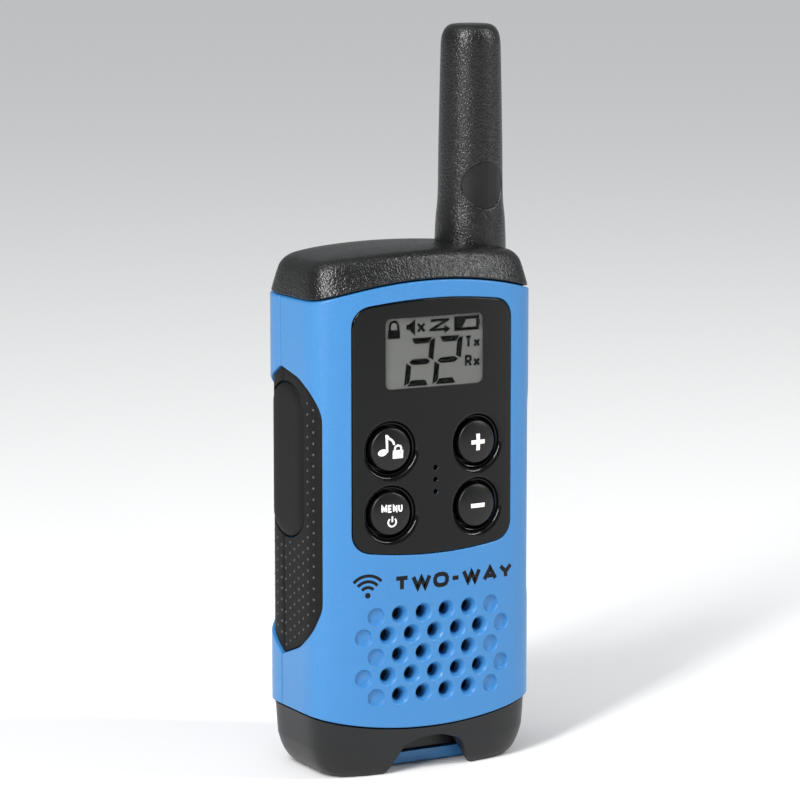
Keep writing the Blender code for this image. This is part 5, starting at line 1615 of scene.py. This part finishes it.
@dataclass
class Battery:
    """The battery cover with its tail, the cells and their springs."""

    paint: Paint
    can: Profile = ((0, 0), (3.6, 0), (3.7, .25), (4.6, .3), (5.1, .55), (5.1, .8), (5.02, .95), (5.02, 42.6),
                    (5.1, 42.75), (5.1, 43.0), (4.7, 43.3), (2.9, 43.35), (2.7, 43.5), (2.65, 44.3),
                    (2.4, 44.5), (0, 44.5))

    @staticmethod
    def tail_surface(u: Array, v: Array, depth: Array) -> Array:
        """The rear face, stepping in towards the foot as the foot does."""
        inset = np.interp(v, (2.9 * MM, 4.7 * MM, 6.6 * MM, 9.8 * MM, 10.6 * MM),
                          (1.8 * MM, 1.35 * MM, 1.0 * MM, 0.5 * MM, 0.02 * MM))
        return np.stack([u, BODY.reach(u, BODY.rear_bow) - inset - depth, v], -1)

    def cover(self) -> None:
        """The cover plate, its tail, hooks and latch ears."""
        made = plate("cover_plate", Outline(box_corners(17.9 * MM, 14.6 * MM, 75.5 * MM, 1.0 * MM)),
                     brow(0.3 * MM, 1.6 * MM), BODY.on_rear)
        tail = plate("cover_tail", Outline(box_corners(12.2 * MM, 3.9 * MM, 18.0 * MM, 0.3 * MM), 28),
                     brow(0.3 * MM, 1.55 * MM), self.tail_surface, rows=24)
        hooks = [block(f"hook_{x}", (x - 2, 12.2, 73.5), (x + 2, 13.1, 76.9), 0.3) for x in (-9, 9)]
        roots = [block(f"root_{x}", (x - 2, 12.6, 73.6), (x + 2, 14.3, 74.9), 0.1) for x in (-9, 9)]
        ears = [block(f"ear_{x}", (x - 1, 9.5, 0.7), (x + 1, 12.9, 5.2), 0.3) for x in (-10.9, 10.9)]
        lines = [Outline(box_corners(6 * MM, (z - .35) * MM, (z + .35) * MM, .3 * MM), 20)
                 for z in (20, 22, 24)]
        thumb = [plate("thumb_line", line, mouth(0.12 * MM, 0.35 * MM), BODY.on_rear) for line in lines]
        carve(made, tail, *hooks, *roots, *ears, operation="UNION")
        carve(made, rod("pin_bore", (-14, 11.0, 2.1), (14, 11.0, 2.1), 0.75, 24), *thumb)
        dress(made, self.paint["blue_moulding"], "battery_cover", "battery_cover", slot="blue_plastic")

    def cells(self) -> None:
        """Three cells, the middle one upside down: crimped can, jacket and gold band."""
        shape, ring = np.array(self.can) * MM, np.array([5.0, 5.1, 5.1, 5.0]) * MM
        for number in (1, 2, 3):
            node = f"battery_cell_{number}"
            middle, low, high = centre(node), edge(node, 0, 2), edge(node, 1, 2)
            flip = number == 2
            level = high - shape[:, 1] if flip else low + shape[:, 1]
            self.turn_upright(f"cell_{number}_can", shape[:, 0], level, middle, "bright_steel", node)
            for label, start, end in (("jacket", 1.0, 30.0), ("band", 30.0, 42.5)):
                span = np.array([start, start, end, end]) * MM
                level = high - span if flip else low + span
                self.turn_upright(f"cell_{number}_{label}", ring, level, middle, f"cell_{label}")

    def turn_upright(self, name: str, radii: Array, levels: Array, middle: Vector, finish: str,
                     *nodes: str) -> None:
        """Make a profile turned about an upright axis.

        Args:
            name: the piece's name.
            radii: the profile's radii.
            levels: their heights.
            middle: a point on the axis.
            finish: the piece's finish.
            nodes: the CAD node that it stands for; without one, it is a sleeve whose bore is closed.
        """
        angle = np.arange(56) * 2 * math.pi / 56
        across = middle.x + radii[:, None] * np.cos(angle)
        along = middle.y + radii[:, None] * np.sin(angle)
        rings = np.stack([across, along, np.broadcast_to(levels[:, None], across.shape)], -1)
        faces = grid_faces(len(radii), len(angle), True)
        if not nodes:
            first = np.arange(len(angle))
            last = (len(radii) - 1) * len(angle) + first
            faces = np.vstack([faces, np.stack([last, np.roll(last, -1), np.roll(first, -1), first], 1)])
        made = piece(name, rings, [faces])
        dress(made, self.paint[finish], "radio", *nodes, slot="steel" if nodes else "cell_jacket")

    def springs(self) -> None:
        """Tapered coils that press on the flat end of each cell."""
        for number in (1, 2, 3):
            node = f"battery_spring_{number}"
            low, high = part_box(node)
            middle, down = (low + high) / 2, number != 2
            share = np.linspace(0, 1, 220)
            turns = share * 5.25 * 2 * math.pi
            reach = (3.65 - 1.7 * share) * MM
            rise = (low.z + 0.35 * MM) + (high.z - low.z - 0.7 * MM) * (share if down else 1 - share)
            path = np.stack([middle.x + reach * np.cos(turns), middle.y + reach * np.sin(turns), rise], 1)
            coil = tube(f"coil_{number}", path, 0.32 * MM, 10)
            dress(coil, self.paint["bright_steel"], "radio", node, slot="steel")

    def build(self) -> None:
        """Cover, cells and springs."""
        self.cover()
        self.cells()
        self.springs()


# ------------------------------------------------------------------ carried-over parts and studio

CARRIED = {
    "solder_mask": ("main_board",),
    "chip_epoxy": ("audio_chip", "radio_chip", "ptt_switch"),
    "bright_steel": ("shield_can", "battery_plate_1", "battery_plate_2", "battery_plate_3", "housing_screw_1",
                     "housing_screw_2", "housing_screw_3", "housing_screw_4", "microphone", "speaker_frame",
                     "key_switch_1", "key_switch_2", "key_switch_3", "key_switch_4"),
    "dark_steel": ("speaker_magnet", "latch_pin"),
    "sprung_brass": ("antenna_coil", "antenna_contact", "antenna_ferrule"),
    "natural_nylon": ("antenna_core",),
    "grip_rubber": ("keypad_membrane", "microphone_boot", "speaker_gasket"),
    "cone_paper": ("speaker_cone",),
    "speaker_scrim": ("speaker_cloth",),
    "display_grey": ("lcd_module",),
    "milky_plastic": ("lcd_light_guide", "lcd_connector_strip"),
    "red_wire": ("speaker_lead_red",),
    "satin_black": ("speaker_lead_black",),
    "blue_moulding": ("battery_latch",),
}


def dress_carried(paint: Paint) -> None:
    """Give each CAD node that stays its finish.

    Args:
        paint: the materials.
    """
    for finish, nodes in CARRIED.items():
        for node in nodes:
            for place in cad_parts[node].material_slots:
                place.material = paint[finish]
            LOG.info("%s keeps its CAD shape, in %s", node, finish)


@dataclass
class Studio:
    """A plain pale floor, soft lights and the camera."""

    place: tuple[float, float, float] = (-0.36408, -0.65507, 0.19665)
    heading: float = math.radians(29.05)
    pitch: float = math.radians(8.94)
    lens: float = 158.62
    target: tuple[float, float, float] = (0.0, 0.0, 0.075)

    def floor(self) -> None:
        """A wide pale floor just under the foot."""
        material = bpy.data.materials.new("studio_floor")
        material.use_nodes = True
        shader = material.node_tree.nodes["Principled BSDF"]
        shader.inputs["Base Color"].default_value = (0.93, 0.93, 0.93, 1)
        shader.inputs["Roughness"].default_value = 0.9
        points = np.array([(-30, -30, 0), (30, -30, 0), (30, 30, 0), (-30, 30, 0)], float)
        made = bpy.data.meshes.new("studio_floor")
        made.from_pydata(points.tolist(), [], [(0, 1, 2, 3)])
        ground = bpy.data.objects.new("studio_floor", made)
        ground.data.materials.append(material)
        bpy.context.scene.collection.objects.link(ground)
        ground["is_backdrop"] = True

    def softbox(self, name: str, azimuth: float, height: float, away: float, size: tuple[float, float],
                power: float) -> None:
        """An area light that faces the radio.

        Args:
            name: the light's name.
            azimuth: degrees from the front, towards the right.
            height: degrees above the floor.
            away: its distance in metres.
            size: its width and height in metres.
            power: its power in watts.
        """
        light = bpy.data.lights.new(name, "AREA")
        light.shape, light.size, light.size_y, light.energy = "RECTANGLE", *size, power
        made = bpy.data.objects.new(name, light)
        turn, rise = math.radians(azimuth), math.radians(height)
        way = Vector((math.sin(turn) * math.cos(rise), -math.cos(turn) * math.cos(rise), math.sin(rise)))
        made.location = Vector(self.target) + way * away
        made.rotation_euler = way.to_track_quat("Z", "Y").to_euler()
        bpy.context.scene.collection.objects.link(made)

    def build(self) -> None:
        """Floor, lights, surroundings and camera."""
        scene = bpy.context.scene
        self.floor()
        self.softbox("key_softbox", -57, 33, 1.1, (0.13, 0.85), 12.4)
        self.softbox("fill_softbox", 52, 36, 1.1, (0.11, 0.85), 5.8)
        sun = bpy.data.lights.new("broad_light", "SUN")
        sun.energy, sun.angle = 0.85, math.radians(60)
        above = bpy.data.objects.new("broad_light", sun)
        above.rotation_euler = Vector((-0.45, -0.15, 0.88)).to_track_quat("Z", "Y").to_euler()
        scene.collection.objects.link(above)
        world = bpy.data.worlds.new("studio_air")
        world.use_nodes = True
        air = world.node_tree.nodes["Background"]
        air.inputs["Color"].default_value = (0.96, 0.98, 1.0, 1)
        air.inputs["Strength"].default_value = 0.33
        scene.world = world
        scene.view_settings.view_transform = "Standard"
        camera = bpy.data.cameras.new("studio_camera")
        camera.lens, camera.sensor_width, camera.clip_end = self.lens, 36.0, 100.0
        made = bpy.data.objects.new("studio_camera", camera)
        level = math.cos(self.pitch)
        way = Vector((math.sin(self.heading) * level, math.cos(self.heading) * level, -math.sin(self.pitch)))
        made.location = self.place
        made.rotation_euler = way.to_track_quat("-Z", "Y").to_euler()
        scene.collection.objects.link(made)
        scene.camera = made


def write_sizes() -> None:
    """Gather the CAD model's box and the visual model's box as plain lists; nothing is written."""
    boxes = {"cad": CAD_BOX, "visual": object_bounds()}
    plain = {name: [[float(value) for value in corner] for corner in box] for name, box in boxes.items()}


def main() -> None:
    """Build the radio, dress it, and set up the studio."""
    logging.basicConfig(level=logging.INFO, format="%(message)s")
    paint = Paint()
    housings = Housings(paint)
    housings.front()
    housings.rear()
    caps = EndCaps(paint)
    caps.cap()
    caps.foot()
    Antenna(paint).build()
    FrontPanel(paint).build()
    Keys(paint).build()
    SideGrips(paint).build()
    Mark(paint).build()
    Battery(paint).build()
    dress_carried(paint)
    Studio().build()
    write_sizes()


if __name__ == "__main__":
    main()
